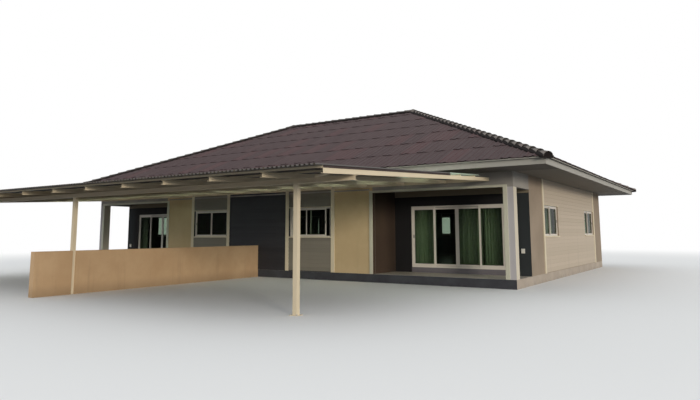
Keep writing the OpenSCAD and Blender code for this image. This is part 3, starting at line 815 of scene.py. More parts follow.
def clearSheetFinish():
    # Pale see-through sheet, frosted by age, with dust in streaks down the pans
    made = Finish("clearSheet", Alpha=0.8, Transmission_Weight=0.8, IOR=1.15,
                  Specular_IOR_Level=0.35)
    broad = made.noise(0.8, 5.0, 0.6)
    runs = made.noise(5.0, 5.0, 0.7, (1.0, 0.05, 1.0))
    return made.end(made.darken(made.blend(broad, *shades("clearSheet")), 0.9 + runs * 0.15),
                    0.65 + runs * 0.2, runs, 0.0004)


def tanRenderFinish():
    # The low wall: darker at its foot, and stained in places along its top
    made = Finish("tanRender")
    broad = made.noise(0.9, 5.0, 0.62)
    fine = made.noise(45.0, 5.0, 0.7)
    foot = (1.0 - made.step(made.z, 0.0, 0.35)) * 0.28
    stains = made.step(made.noise(4.0, 5.0, 0.7), 0.45, 0.7)
    top = made.step(made.z, 1.1, 1.15) * stains * 0.2
    colour = rainStreaks(made, made.mottle(broad, "tanRender"), 0.22, 0.2, 1.3)
    return made.end(made.darken(colour, (0.94 + fine * 0.12) * (1.0 - foot - top)),
                    0.84 + broad * 0.1, fine + broad, 0.0022)


def smallPartFinish(name, roughness, metallic):
    # Metal or plastic of one colour, a little uneven
    made = Finish(name, Metallic=metallic)
    code = paints[name][0]
    fine = made.noise(90.0, 4.0, 0.65)
    spots = made.noise(400.0, 2.0, 0.5)
    colour = made.blend(fine, tone(code, 0.9), tone(code, 1.12))
    return made.end(made.darken(colour, 0.95 + spots * 0.1), roughness + fine * 0.16, spots, 0.0001)


def plugFinish():
    # Mortar in the ribs' mouths, mostly near black as painted shade inside the ribs; paler ones at
    # random stand as painted light
    made = Finish("ribPlug", Specular_IOR_Level=0.2)
    fine = made.noise(180.0, 4.0, 0.7)
    colour = made.blend(made.attribute("shade") ** 2.2, *shades("ribPlug"))
    return made.end(made.darken(colour, 0.85 + fine * 0.3), 0.8 + fine * 0.15, fine, 0.0008)


def rubberFinish():
    made = Finish("blackRubber", Specular_IOR_Level=0.3)
    fine = made.noise(300.0, 2.0, 0.5)
    return made.end(made.blend(fine, *shades("blackRubber")), 0.62 + fine * 0.2, fine, 0.0001)


def clothFinish():
    # Plain woven curtain cloth, with its threads and soft stripes on the cloth's own coordinates
    made = Finish("curtainCloth", Specular_IOR_Level=0.15)
    uv = made.add("ShaderNodeUVMap", {"uv_map": "cloth"})
    split = made.add("ShaderNodeSeparateXYZ", {}, [uv])
    warp = (split.pick("X") * 2600.0).work("SINE")
    weft = (split.pick("Y") * 2600.0).work("SINE")
    weave = warp * weft * 0.5 + 0.5
    broad = made.noise(2.0, 4.0, 0.6)
    stripes = (split.pick("X") * 26.0).work("SINE") * 0.5 + 0.5
    colour = made.blend(broad, *shades("curtain"))
    colour = made.blend(stripes * 0.35, colour, *shades("curtainStripe"))
    # The curtains are painted darker towards their heads: painted shade
    head = made.step(made.z, *paintEdges["curtainHeadShade"])
    return made.end(made.darken(colour, (1.02 + weave * 0.08) * (1.0 - head * 0.5)),
                    0.86 + broad * 0.08, weave, 0.0003)


plinthConcrete = plinthFinish()
floorTile = floorTileFinish()
frontWall = outerWall("frontWall", lambda m: m.y > house["front"] + plasterFace, frontColour)
returnWall = outerWall(
    "porchReturn", lambda m: abs(m.x) < house["porchEdge"] - plasterFace, returnColour)
doorWall = outerWall("doorWall", lambda m: m.y > house["porchBack"] + plasterFace, porchColour)
sideWall = outerWall("sideWall", lambda m: abs(m.x) < house["halfWidth"] - plasterFace, endColour)
backWall = outerWall("backWall", lambda m: m.y < house["back"] - plasterFace, backColour)
whiteTrim = trimFinish("whiteTrim")
porchTrim = trimFinish("porchTrim")
columnPaint = columnFinish()
greyRender = greyRenderFinish()
bayBoards = sidingFinish("bayBoards")
centreBoards = sidingFinish("centreBoards")
creamBoards = sidingFinish("creamBoards")
whiteAluminium = aluminiumFinish()
windowGlass = glassFinish()
# The soffit and ceiling boards are painted darker than pale boards as painted shade under the eaves
# and ceilings; the front and back soffits are painted darker still
sideBoards = boardFinish("sideBoards")
shadedBoards = boardFinish("shadedBoards")
fasciaPaint = fasciaFinish()
roofSheetFinish = roofFinish("roofSheet", 0.55)
roofCapFinish = roofFinish("roofCap", 0.46, 0.7)
beddingFinish = roofFinish("capBedding", 0.8)
roofPlate = plateFinish()
creamSteel = steelFinish("creamSteel")
# The braces are painted paler than the other steel: painted sunlight
litTieSteel = steelFinish("litTieSteel")
darkSheet = darkSheetFinish()
clearSheet = clearSheetFinish()
endPlate = smallPartFinish("endPlate", 0.5, 0.0)
ribPlug = plugFinish()
tanRender = tanRenderFinish()
zinc = smallPartFinish("zincBolts", 0.38, 0.9)
darkLatch = smallPartFinish("darkLatch", 0.42, 0.2)
blackRubber = rubberFinish()
curtainCloth = clothFinish()
railWhite = smallPartFinish("railWhite", 0.4, 0.0)
boxPlastic = smallPartFinish("boxPlastic", 0.5, 0.0)
print("finishes made")

nodeFinishes = {
    "plinth": plinthConcrete, "room_floor": floorTile, "front_wall": frontWall,
    "porch_return_walls": returnWall, "walls_beside_doors": doorWall, "walls_over_doors": doorWall,
    "side_walls": sideWall, "back_wall": backWall, "porch_columns": columnPaint,
    "porch_beams": greyRender, "wall_bands": whiteTrim, "porch_bands": porchTrim,
    "window_frames": whiteAluminium, "window_glass": windowGlass, "ceiling": sideBoards,
    "front_and_back_soffits": shadedBoards, "side_soffits": sideBoards,
    "front_and_back_fascias": fasciaPaint, "side_fascias": fasciaPaint,
    "roof_front": roofPlate, "roof_back": roofPlate, "roof_ends": roofPlate,
    "carport_posts": creamSteel, "carport_beam": creamSteel, "carport_wall_channel": creamSteel,
    "carport_rafters": creamSteel, "carport_purlins": creamSteel, "carport_braces": litTieSteel,
    "carport_sheet": darkSheet, "carport_clear_sheet": clearSheet, "divider_wall": tanRender,
}
for home, _ in homes:
    nodeFinishes[home + "_door_frame"] = whiteAluminium
    nodeFinishes[home + "_door_fixed_glass"] = windowGlass
    for leaf in ("inner", "outer"):
        nodeFinishes[home + "_door_" + leaf + "_leaf"] = whiteAluminium
        nodeFinishes[home + "_door_" + leaf + "_glass"] = windowGlass
for name, made in nodeFinishes.items():
    nodes[name].data.materials.clear()
    nodes[name].data.materials.append(made.material)

# Roof sheets: one sheet's sizes, and how they lie
sheets = {"cover": 0.618, "ribs": 4, "ribStep": 0.206, "ribFoot": 0.088, "ribCrest": 0.040,
          "rib": 0.015, "length": 1.5, "thickness": 0.007, "raised": 0.022, "seated": 0.005,
          "raisedTo": 0.30, "headLift": 0.001, "closer": 0.012, "courses": 7, "courseStep": 1.322,
          "overhang": 0.022, "spare": 0.05, "shift": 0.025, "wander": 0.0012, "seed": 11}


def sheetShape(sizes):
    # One sheet with four low ribs: its first rib lies on its neighbour's last, so that side
    # stands up. The attribute butt says how dark the gap at its lower edge is
    rib, thick, foot = sizes["rib"], sizes["thickness"], sizes["ribFoot"]
    flank = (foot - sizes["ribCrest"]) / 2
    profile = ((0.0, 0.0), (flank, 1.0), (foot - flank, 1.0), (foot, 0.0))
    line = [(k * sizes["ribStep"] + x, h * rib) for k in range(sizes["ribs"]) for x, h in profile]
    lifts = [sizes["raised"] if x <= sizes["raisedTo"] else sizes["seated"] for x, h in line]
    headLifts = [sizes["headLift"]] * len(line)
    bm = bmesh.new()
    butt = bm.faces.layers.float.new("butt")
    rows = []
    for y, rise in ((0.0, lifts), (sizes["length"], headLifts)):
        under = [bm.verts.new((x, y, h + lift)) for (x, h), lift in zip(line, rise)]
        above = [bm.verts.new((x, y, h + lift + thick)) for (x, h), lift in zip(line, rise)]
        rows.append((under, above))
    (underA, aboveA), (underB, aboveB) = rows
    for i in range(len(line) - 1):
        j = i + 1
        bm.faces.new([aboveA[i], aboveA[j], aboveB[j], aboveB[i]])
        bm.faces.new([underB[j], underB[i], aboveB[i], aboveB[j]])
        gap = 1.0 if line[j][0] <= sizes["raisedTo"] else 0.3
        for shaded in ([underA[j], underA[i], underB[i], underB[j]],
                       [underA[i], underA[j], aboveA[j], aboveA[i]]):
            bm.faces.new(shaded)[butt] = gap
    bm.faces.new([underA[0], aboveA[0], aboveB[0], underB[0]])
    bm.faces.new([aboveA[-1], underA[-1], underB[-1], aboveB[-1]])
    # A closer face behind each butt, down to the sheet below, painted near black as the shade in
    # the gap
    y = sizes["closer"]
    for (x0, h0), (x1, h1), lift0, lift1 in zip(line, line[1:], lifts, lifts[1:]):
        corners = ((x0, y, h0 * 0.9), (x1, y, h1 * 0.9),
                   (x1, y, h1 + lift1 + 0.002), (x0, y, h0 + lift0 + 0.002))
        closer = bm.faces.new([bm.verts.new(corner) for corner in corners])
        closer[butt] = 1.0 if x1 <= sizes["raisedTo"] else 0.5
    return toolMesh(bm, "oneSheet", turned=False)


def slopeSides(outward, reach, half):
    # Matrix of a slope: X along its eave, Y up it, Z out of it; and the planes that end it
    n, p = Vector(outward), roof["pitch"]
    up = -n * math.cos(p) + Vector((0, 0, math.sin(p)))
    out = n * math.sin(p) + Vector((0, 0, math.cos(p)))
    along = up.cross(out)
    origin = n * reach + Vector((0, 0, roof["topAtFascia"]))
    matrix = Matrix((along, up, out)).transposed().to_4x4()
    matrix.translation = origin
    planes = [(origin + along * half, (along - n).normalized()),
              (origin - along * half, (-along - n).normalized())]
    if abs(n.y) > 0.5:
        planes.append((Vector((0, 0, 0)), -n))
    return matrix, planes


def makeRoofSheets(sizes):
    shape = sheetShape(sizes)
    start = -(roof["drip"] + sizes["overhang"]) / math.cos(roof["pitch"])
    made = {}
    for side, outward, reach, half in (
            ("front", (0, -1, 0), roof["reachY"], roof["reachX"]),
            ("back", (0, 1, 0), roof["reachY"], roof["reachX"]),
            ("right", (1, 0, 0), roof["reachX"], roof["reachY"]),
            ("left", (-1, 0, 0), roof["reachX"], roof["reachY"])):
        matrix, planes = slopeSides(outward, reach, half)
        columns = 2 * math.ceil((half + roof["drip"] + sizes["spare"]) / sizes["cover"]) + 1
        left = sizes["shift"] - (columns + 1) / 2 * sizes["cover"]
        mesh = grow(courseTree, {
            "Columns": columns, "Courses": sizes["courses"], "Column Step": sizes["cover"],
            "Course Step": sizes["courseStep"], "Start": (left, start, 0.0), "Shape": shape,
            "Wander": sizes["wander"], "Seed": sizes["seed"], "Finish": roofSheetFinish})
        mesh.transform(matrix)
        made[side] = cutMesh(mesh, planes)
    endGrown([made["front"]], "roof_sheets_front")
    endGrown([made["back"]], "roof_sheets_back")
    endGrown([made["right"], made["left"]], "roof_sheets_ends")


makeRoofSheets(sheets)
print("roof sheets made")

# Half-round tiles over the hips and the ridge, and the mortar that they lie in
caps = {"lowRadius": 0.136, "highRadius": 0.120, "length": 0.45, "thickness": 0.012, "rim": 0.004,
        "sides": 10, "shadeStart": 0.235, "hipStep": 0.395, "ridgeStep": 0.40, "sink": 0.018,
        "bedWidth": 0.170, "bedDepth": 0.06, "bedShoulder": 0.06, "bedCrest": 0.08,
        "bedStart": 0.012, "plug": (0.015, 0.05), "wander": 0.0015, "seed": 5}


def capShape(sizes):
    # A half-round cap that narrows uphill, with a thick lower rim; butt marks the faces painted
    # dark as painted shade, on the cap's upper part and its rims
    length, low, high = sizes["length"], sizes["lowRadius"], sizes["highRadius"]
    rim, shadeFrom, sides = low + sizes["rim"], sizes["shadeStart"], sizes["sides"]
    part = shadeFrom / length
    # Places along the cap, with its radius there and how high its middle lies
    places = ((0.0, rim, 0.006), (0.035, rim, 0.006), (0.045, low, 0.005),
              (shadeFrom, low * (1 - part) + high * part, 0.005 - 0.013 * part),
              (length, high, -0.008))
    bm = bmesh.new()
    butt = bm.faces.layers.float.new("butt")
    turns = [math.pi * i / sides for i in range(sides + 1)]

    def arc(x, radius, lift):
        return [bm.verts.new((x, radius * math.cos(t), radius * math.sin(t) + lift)) for t in turns]

    rings = [(arc(x, radius, lift), arc(x, radius - sizes["thickness"], lift))
             for x, radius, lift in places]
    for k, ((outerA, innerA), (outerB, innerB)) in enumerate(zip(rings, rings[1:])):
        dark = 0.75 if places[k][0] == shadeFrom else 0.0
        for i in range(sides):
            j = i + 1
            bm.faces.new([outerA[i], outerA[j], outerB[j], outerB[i]])[butt] = dark
            bm.faces.new([innerA[j], innerA[i], innerB[i], innerB[j]])
        bm.faces.new([innerA[0], outerA[0], outerB[0], innerB[0]])
        bm.faces.new([outerA[-1], innerA[-1], innerB[-1], outerB[-1]])
    for outer, inner in (rings[0], rings[-1]):
        for i in range(sides):
            bm.faces.new([outer[i], inner[i], inner[i + 1], outer[i + 1]])[butt] = 0.9
    return toolMesh(bm, "oneCap")


def alongMatrix(start, end):
    # X from start to end, Z as upright as it can be
    along = (end - start).normalized()
    side = Vector((0, 0, 1)).cross(along).normalized()
    return Matrix((along, side, along.cross(side))).transposed()


def capRow(shape, start, end, step, sizes, seed):
    # Caps from start up to end, the last one under the apex cap
    turn = alongMatrix(start, end)
    length = (end - start).length
    count = int(length / step + 0.5)
    first = start + turn @ Vector((0, 0, -sizes["sink"]))
    return growRow(shape, count, first, turn @ Vector((length / count, 0, 0)), roofCapFinish, seed,
                   Turn=Vector(turn.to_euler()), Wander=sizes["wander"])


def hipEnds():
    # The four hip lines on the roof's surface, from the eave corner to the end of the ridge
    past = roof["drip"] + roof["capReach"]
    low = roof["topAtFascia"] - past * math.tan(roof["pitch"])
    return [(Vector((sx * (roof["reachX"] + past), sy * (roof["reachY"] + past), low)),
             Vector((sx * roof["ridgeHalf"], 0, roof["apex"]))) for sx in (1, -1) for sy in (1, -1)]


def addBedding(bm, start, end, sizes):
    turn = alongMatrix(start, end)
    ahead, across, up = (turn @ Vector(axis) for axis in ((1, 0, 0), (0, 1, 0), (0, 0, 1)))
    wide, shoulder = sizes["bedWidth"], sizes["bedShoulder"]
    outline = [(-wide, -sizes["bedDepth"]), (wide, -sizes["bedDepth"]), (wide, 0.0),
               (0.6 * wide, shoulder), (0.0, sizes["bedCrest"]), (-0.6 * wide, shoulder),
               (-wide, 0.0)]
    addPrism(bm, outline, start, end, across, up)
    # Mortar that closes the lowest cap
    radius, lift = sizes["lowRadius"] - sizes["thickness"], 0.006 - sizes["sink"]
    turns = [math.pi * i / 12 for i in range(13)]
    mouth = [(radius * math.cos(t), radius * math.sin(t) + lift) for t in turns]
    outer, inner = sizes["plug"]
    addPrism(bm, mouth, start + ahead * outer, start + ahead * inner, across, up)


def makeCaps(sizes):
    shape = capShape(sizes)
    hips = [capRow(shape, start, end, sizes["hipStep"], sizes, sizes["seed"] + i)
            for i, (start, end) in enumerate(hipEnds())]
    hipPiece = endGrown(hips, "hip_cap_tiles")
    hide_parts("hip_caps")
    ridgeStart = Vector((-roof["ridgeHalf"], 0, roof["apex"]))
    ridgeEnd = Vector((roof["ridgeHalf"], 0, roof["apex"]))
    ridge = capRow(shape, ridgeStart, ridgeEnd, sizes["ridgeStep"], sizes, sizes["seed"] + 9)
    ridgePiece = endGrown([ridge], "ridge_cap_tiles")
    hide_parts("ridge_cap")
    # The mortar bedding is near black and wider than the caps, so it also stands as painted shadow
    # along them
    bm = bmesh.new()
    for start, end in hipEnds() + [(ridgeStart, ridgeEnd)]:
        inset = (end - start).normalized() * sizes["bedStart"]
        addBedding(bm, start + inset, end, sizes)
    endPiece(bm, "cap_bedding", beddingFinish)


# Three short half-round arms that meet in a low dome, over each end of the ridge
apexCap = {"arm": 0.30, "armRadius": 0.150, "armSides": 14, "thickness": 0.012, "dome": 0.165,
           "domeHeight": 0.150, "domeSeat": 0.012, "domeSides": 24, "domeRows": 7, "sink": 0.03}


def addArm(bm, centre, turn, sizes):
    # It narrows a little, and ends in a thicker rim
    arm, wide, sides = sizes["arm"], sizes["armRadius"], sizes["armSides"]
    turns = [math.pi * i / sides for i in range(sides + 1)]
    rings = []
    for x, outer in ((0.0, wide), (arm - 0.03, wide - 0.004), (arm - 0.02, wide + 0.002),
                     (arm, wide + 0.002)):
        inner = outer - sizes["thickness"]
        line = [(outer, t) for t in turns] + [(inner, t) for t in reversed(turns)]
        rings.append([bm.verts.new(centre + turn @ Vector((x, r * math.cos(t), r * math.sin(t))))
                      for r, t in line])
    for near, far in zip(rings, rings[1:]):
        addBand(bm, near, far)
    bm.faces.new(rings[0][::-1])
    bm.faces.new(rings[-1])


def addDome(bm, centre, sizes):
    sides, rows, seat = sizes["domeSides"], sizes["domeRows"], sizes["domeSeat"]
    turns = [2 * math.pi * i / sides for i in range(sides)]
    rings = []
    for k in range(rows):
        lift = math.pi / 2 * k / rows
        wide = sizes["dome"] * math.cos(lift)
        high = sizes["domeHeight"] * math.sin(lift) + seat
        rings.append([bm.verts.new(centre + Vector((wide * math.cos(t), wide * math.sin(t), high)))
                      for t in turns])
    top = bm.verts.new(centre + Vector((0, 0, sizes["domeHeight"] + seat)))
    for near, far in zip(rings, rings[1:]):
        addBand(bm, near, far)
    for i in range(sides):
        bm.faces.new([rings[-1][i], rings[-1][(i + 1) % sides], top])
    bm.faces.new(rings[0][::-1])


def makeApexCaps(sizes):
    bm = bmesh.new()
    middle = Vector((0, 0, roof["apex"]))
    for sx in (1, -1):
        tip = Vector((sx * roof["ridgeHalf"], 0, roof["apex"]))
        centre = Vector((sx * roof["ridgeHalf"], 0, roof["apex"] - sizes["sink"]))
        for target in [middle] + [foot for foot, _ in hipEnds() if foot.x * sx > 0]:
            addArm(bm, centre, alongMatrix(tip, target), sizes)
        addDome(bm, centre, sizes)
    endPiece(bm, "apex_caps", roofCapFinish)


makeCaps(caps)
makeApexCaps(apexCap)
print("caps made")

# Lap boards on the walls: a board's section, and where the rows start and stop
boards = {"exposure": 0.13, "lap": 0.02, "foot": 0.014, "top": 0.004, "lean": 0.0062,
          "edge": (0.002, 0.003), "base": 0.29, "behindTrim": 0.019, "underSoffit": 0.003,
          "wander": 0.0004, "seed": 21}


def boardShape(sizes):
    # One tapered board a metre long: X along it, Y out of the wall, Z up
    high, foot = sizes["exposure"] + sizes["lap"], sizes["foot"]
    back, rise = sizes["edge"]
    outline = [(sizes["lean"], 0.0), (foot - back, 0.0), (foot, rise), (sizes["top"], high),
               (0.0, high)]
    bm = bmesh.new()
    addPrism(bm, outline, (0, 0, 0), (1, 0, 0), (0, 1, 0), (0, 0, 1))
    return toolMesh(bm, "oneBoard")


def boardField(shape, side, start, end, low, high, finish, seed, sizes):
    # Boards on one wall from start to end along it, and from low to high; the top one is ripped
    exposure = sizes["exposure"]
    rows = math.ceil((high - low) / exposure - 0.02)
    places = {
        "front": ((end, house["front"], low), math.pi), "back": ((start, house["back"], low), 0.0),
        "right": ((house["halfWidth"], end, low), -math.pi / 2),
        "left": ((-house["halfWidth"], start, low), math.pi / 2)}
    corner, turn = places[side]
    mesh = growRow(shape, rows, corner, (0.0, 0.0, exposure), finish, seed, Length=end - start,
                   Turn=(0.0, 0.0, turn), Wander=sizes["wander"])
    # It ends behind a window's sill or head trim, or just short of the soffit
    past = sizes["behindTrim"] if high < house["wallTop"] else -sizes["underSoffit"]
    return cutMesh(mesh, [(Vector((0, 0, high + past)), Vector((0, 0, 1)))])


def makeBoards(sizes):
    shape = boardShape(sizes)
    low, sill, head, top = sizes["base"], house["sill"], house["head"], house["wallTop"]
    gap, width, band = house["bandGap"], house["windowWidth"], house["centreBand"]
    bayLow, bayHigh = bayPanel
    fields = []
    for start, end in ((-bayHigh, -bayLow), (bayLow, bayHigh)):
        fields += [("bay_boards", bayBoards, "front", start, end, low, sill),
                   ("bay_boards", bayBoards, "front", start, end, head, top)]
    for sx in (1, -1):
        for window in house["backWindows"]:
            start, end = sorted((sx * (window - gap), sx * (window + width + gap)))
            fields += [("back_boards", creamBoards, "back", start, end, low, sill),
                       ("back_boards", creamBoards, "back", start, end, head, top)]
    for side in ("front", "back"):
        fields.append(("centre_boards", centreBoards, side, -band, band, low, top))
    windowA, windowB = house["sideWindows"]
    first, last = windowA - gap, windowB + width + gap
    for side in ("right", "left"):
        fields += [("side_boards", creamBoards, side, first, last, low, sill),
                   ("side_boards", creamBoards, side, windowA + width, windowB, sill, head),
                   ("side_boards", creamBoards, side, first, last, head, top)]
    groups = {}
    for i, (name, finish, side, start, end, bottom, high) in enumerate(fields):
        field = boardField(shape, side, start, end, bottom, high, finish, sizes["seed"] + i, sizes)
        groups.setdefault(name, []).append(field)
    for name, meshes in groups.items():
        endGrown(meshes, name)


makeBoards(boards)
print("boards made")

# Thin trims: across the panels under the eaves, and at the window heads and sills
trims = {"level": 3.0, "height": 0.045, "depth": 0.02, "sillReach": 0.045, "headHeight": 0.03,
         "headReach": 0.03}
sashOpen = 0.17  # how far the right front window's outer sash stands open


def windowPlaces():
    # The ten windows' own frames, X along the wall, Y inwards and Z up from the sill, each with
    # how far its sash is open
    inset, width, sill = house["windowInset"], house["windowWidth"], house["sill"]
    bay = Matrix.Translation((house["bayStart"], house["front"] + inset, sill))
    found = [(bay, sashOpen), (mirror @ bay, 0.0)]
    for y in house["sideWindows"]:
        place = Matrix.Translation((house["halfWidth"] - inset, y, sill))
        side = place @ Matrix.Rotation(math.pi / 2, 4, "Z")
        found += [(side, 0.0), (mirror @ side, 0.0)]
    for x in house["backWindows"]:
        place = Matrix.Translation((x + width, house["back"] - inset, sill))
        rear = place @ Matrix.Rotation(math.pi, 4, "Z")
        found += [(rear, 0.0), (mirror @ rear, 0.0)]
    return found


def makeTrims(sizes):
    bm = bmesh.new()
    low, high = sizes["level"], sizes["level"] + sizes["height"]
    front, deep, band = house["front"], sizes["depth"], house["centreBand"]
    bayLow, bayHigh = bayPanel
    endLow, endHigh = house["panelStart"], house["panelEnd"]
    for x0, x1 in ((-band, band), (bayLow, bayHigh), (-bayHigh, -bayLow), (endLow, endHigh),
                   (-endHigh, -endLow)):
        addBox(bm, (x0, front - deep, low), (x1, front, high))
    endPiece(bm, "head_trims", greyRender)
    # Sills and head drips reach from band to band
    bm = bmesh.new()
    reach = house["bandGap"] - 0.001
    face = -house["windowInset"]
    sillFront, headFront = face - sizes["sillReach"], face - sizes["headReach"]
    level = house["head"] - house["sill"]
    sill = [(sillFront, -0.022), (sillFront, 0.008), (sillFront + 0.006, 0.014), (0.0, 0.022),
            (0.0, -0.022)]
    drip = [(headFront, level + 0.004), (headFront, level + 0.016),
            (face - 0.002, level + sizes["headHeight"]), (face - 0.002, level),
            (headFront + 0.004, level)]
    for matrix, _ in windowPlaces():
        turn = matrix.to_3x3()
        across, up = turn @ Vector((0, 1, 0)), turn @ Vector((0, 0, 1))
        start = matrix @ Vector((-reach, 0, 0))
        end = matrix @ Vector((house["windowWidth"] + reach, 0, 0))
        for outline in (sill, drip):
            addPrism(bm, outline, start, end, across, up)
    endPiece(bm, "window_sills", whiteTrim)


makeTrims(trims)
print("trims made")

# The windows' beads, pulls and catches: heights are from the sill
panes = {"bead": 0.007, "proud": 0.0025, "frame": 0.045, "bar": 0.042, "sash": 0.026,
         "glass": 0.006, "pull": (0.47, 0.57), "grip": (0.48, 0.56), "catch": (0.50, 0.56),
         "catchReach": 0.010, "catchKnob": 0.012}


def addBeads(bm, matrix, x0, z0, x1, z1, middle, sizes):
    # Rubber beads round a pane, on both of its faces
    half, proud, bead = sizes["glass"] / 2, sizes["proud"], sizes["bead"]
    for near, far in ((middle - half - proud, middle - half),
                      (middle + half, middle + half + proud)):
        addFrame(bm, (x0, near, z0), (x1, far, z1), bead, matrix)


def makeWindowFurniture(sizes):
    beads, catches = bmesh.new(), bmesh.new()
    edge, bar, sash = sizes["frame"], sizes["bar"], sizes["sash"]
    width, depth = house["windowWidth"], house["frameDepth"]
    wide = (width - 2 * edge + bar) / 2
    high = house["head"] - house["sill"] - 2 * edge
    gap = (depth - 2 * sash) / 3
    for matrix, opened in windowPlaces():
        outerX = width - edge - wide - opened
        for x, y in ((outerX, gap), (edge, 2 * gap + sash)):
            addBeads(beads, matrix, x + bar, edge + bar, x + wide - bar, edge + high - bar,
                     y + sash / 2, sizes)
        # A pull on the outer sash's free stile and a crescent catch where the sashes meet
        pullX = width - edge - opened - bar / 2
        addPlate(catches, pullX, 0.008, gap - 0.006, gap, sizes["pull"], matrix)
        addPlate(catches, pullX, 0.004, gap - 0.014, gap - 0.006, sizes["grip"], matrix)
        meetX = edge + wide - bar / 2
        seat = depth - gap
        end = seat + sizes["catchReach"]
        addPlate(catches, meetX, 0.011, seat, end, sizes["catch"], matrix)
        knob = matrix @ Vector((meetX, end, sum(sizes["catch"]) / 2))
        addRound(catches, knob, matrix.to_3x3() @ Vector((0, 1, 0)), sizes["catchKnob"],
                 sizes["catchKnob"])
    bevelAll(catches, 0.0015, 1)
    endPiece(beads, "window_beads", blackRubber)
    endPiece(catches, "window_catches", darkLatch)


# The doors' beads, pulls and latches: heights are from the ground
doors = {"start": 5.72, "end": 9.02, "frame": 0.05, "leafWidth": 0.8285, "leafHeight": 1.936,
         "leafBase": 0.502, "fixedTrack": -4.832, "slideTrack": -4.790, "leafThick": 0.032,
         "stile": 0.06, "innerStart": 6.5385, "outerStart": 7.373, "pull": (1.36, 1.58),
         "grip": (1.41, 1.53), "latch": (1.42, 1.53), "thumb": (1.45, 1.50)}


def makeDoorFurniture(sizes):
    wide, high, base, stile = (sizes[k] for k in ("leafWidth", "leafHeight", "leafBase", "stile"))
    thick, fixed, track = sizes["leafThick"], sizes["fixedTrack"], sizes["slideTrack"]
    first, last = sizes["start"] + sizes["frame"], sizes["end"] - sizes["frame"] - wide
    inner, outer = sizes["innerStart"], sizes["outerStart"]
    for home, matrix in homes:
        leaves = {"house": [(first, fixed), (last, fixed)],
                  home + "_inner_leaf": [(inner, track)], home + "_outer_leaf": [(outer, track)]}
        for body, spots in leaves.items():
            beads = bmesh.new()
            for x, y in spots:
                addBeads(beads, matrix, x + stile, base + stile, x + wide - stile,
                         base + high - stile, y + thick / 2, panes)
            label = home + "_door_beads" if body == "house" else body + "_beads"
            endPiece(beads, label, blackRubber, body)
        for leaf, x in (("inner", inner + wide - stile / 2), ("outer", outer + stile / 2)):
            # A shallow pull on the street side and a deeper one in the room
            bm = bmesh.new()
            room = track + thick
            addPlate(bm, x, 0.014, track - 0.004, track, sizes["pull"], matrix)
            addPlate(bm, x, 0.006, track - 0.008, track - 0.004, sizes["grip"], matrix)
            addPlate(bm, x, 0.014, room, room + 0.006, sizes["pull"], matrix)
            addPlate(bm, x, 0.006, room, room + 0.020, sizes["grip"], matrix)
            bevelAll(bm, 0.0012, 1)
            body = home + "_" + leaf + "_leaf"
            endPiece(bm, home + "_" + leaf + "_pull", railWhite, body)
        bm = bmesh.new()
        x = first + stile / 2
        addPlate(bm, x, 0.016, fixed - 0.006, fixed, sizes["latch"], matrix)
        addPlate(bm, x, 0.009, fixed - 0.016, fixed - 0.006, sizes["thumb"], matrix)
        bevelAll(bm, 0.0012, 1)
        endPiece(bm, home + "_door_latch", darkLatch)


makeWindowFurniture(panes)
makeDoorFurniture(doors)
print("door and window furniture made")

# Curtains: the cloth, the rails, and what part of each opening is covered. Windows are counted
# in the order of windowPlaces, and X runs along each window's own frame
curtains = {"fold": 0.095, "depth": 0.024, "doorTop": 2.60, "doorFoot": 0.47, "windowTop": 2.60,
            "windowFoot": 1.30, "rail": 0.012, "offset": 0.10, "thickness": 0.0015, "seed": 3,
            "right": ((5.70, 6.55), (7.40, 8.20), (8.22, 9.06)),
            "left": ((5.66, 6.15), (8.62, 9.10)), "window": ((-0.04, 0.93), (0.90, 1.84)),
            "halfOpen": ((0.02, 1.02), (1.48, 1.79)), "halfOpenWindow": 6, "bareWindows": (0, 1, 3),
            "doorRail": (5.60, 9.14), "doorBrackets": (5.66, 6.8, 7.95, 9.08),
            "windowRail": (-0.08, 1.88), "windowBrackets": (-0.03, 0.9, 1.83)}


def makeCurtain(name, matrix, width, top, foot, sizes, phase):
    # Gathered cloth in its own frame: X along the rail, Y across it, Z up
    folds = max(3, round(width / sizes["fold"]))
    steps, rows = folds * 10, 14
    bm = bmesh.new()
    layer = bm.loops.layers.uv.new("cloth")
    grid = []
    for r in range(rows + 1):
        t = r / rows
        z = top + (foot - top) * t
        depth = sizes["depth"] * (0.55 + 0.45 * min(1.0, t * 4))
        line, run, last = [], 0.0, None
        for s in range(steps + 1):
            u = s / steps
            turn = 2 * math.pi * folds * u + phase + 0.35 * math.sin(3 * t + 5 * u + phase)
            sway = 0.004 * math.sin(2.3 * t + 7 * u)
            x = u * width + 0.010 * math.sin(2 * turn) * t
            point = Vector((x, depth * math.sin(turn) + sway, z))
            run += (point - last).length if last is not None else 0.0
            last = point
            line.append((bm.verts.new(matrix @ point), run))
        grid.append(line)
    drop = top - foot
    for r in range(rows):
        below, above = drop - drop * (r + 1) / rows, drop - drop * r / rows
        for s in range(steps):
            corners = [grid[r + 1][s], grid[r + 1][s + 1], grid[r][s + 1], grid[r][s]]
            face = bm.faces.new([point for point, run in corners])
            for loop, corner, level in zip(face.loops, corners, (below, below, above, above)):
                loop[layer].uv = (corner[1], level)
    flat = sum(line[-1][1] for line in grid) / len(grid)
    piece = endPiece(bm, name, curtainCloth, smooth=True)
    solid = piece.modifiers.new("thickness", "SOLIDIFY")
    solid.thickness = sizes["thickness"]
    solid.offset = 0.0
    top - foot


def addRail(bm, matrix, ends, brackets, wall, level, sizes):
    # A flat rail in front of a wall, on brackets
    middle, half = wall + sizes["offset"], sizes["rail"]
    addBox(bm, (ends[0], middle - half, level + 0.004), (ends[1], middle + half, level + 0.026),
           matrix)
    for x in brackets:
        addPlate(bm, x, half, wall, middle, (level + 0.006, level + 0.024), matrix)


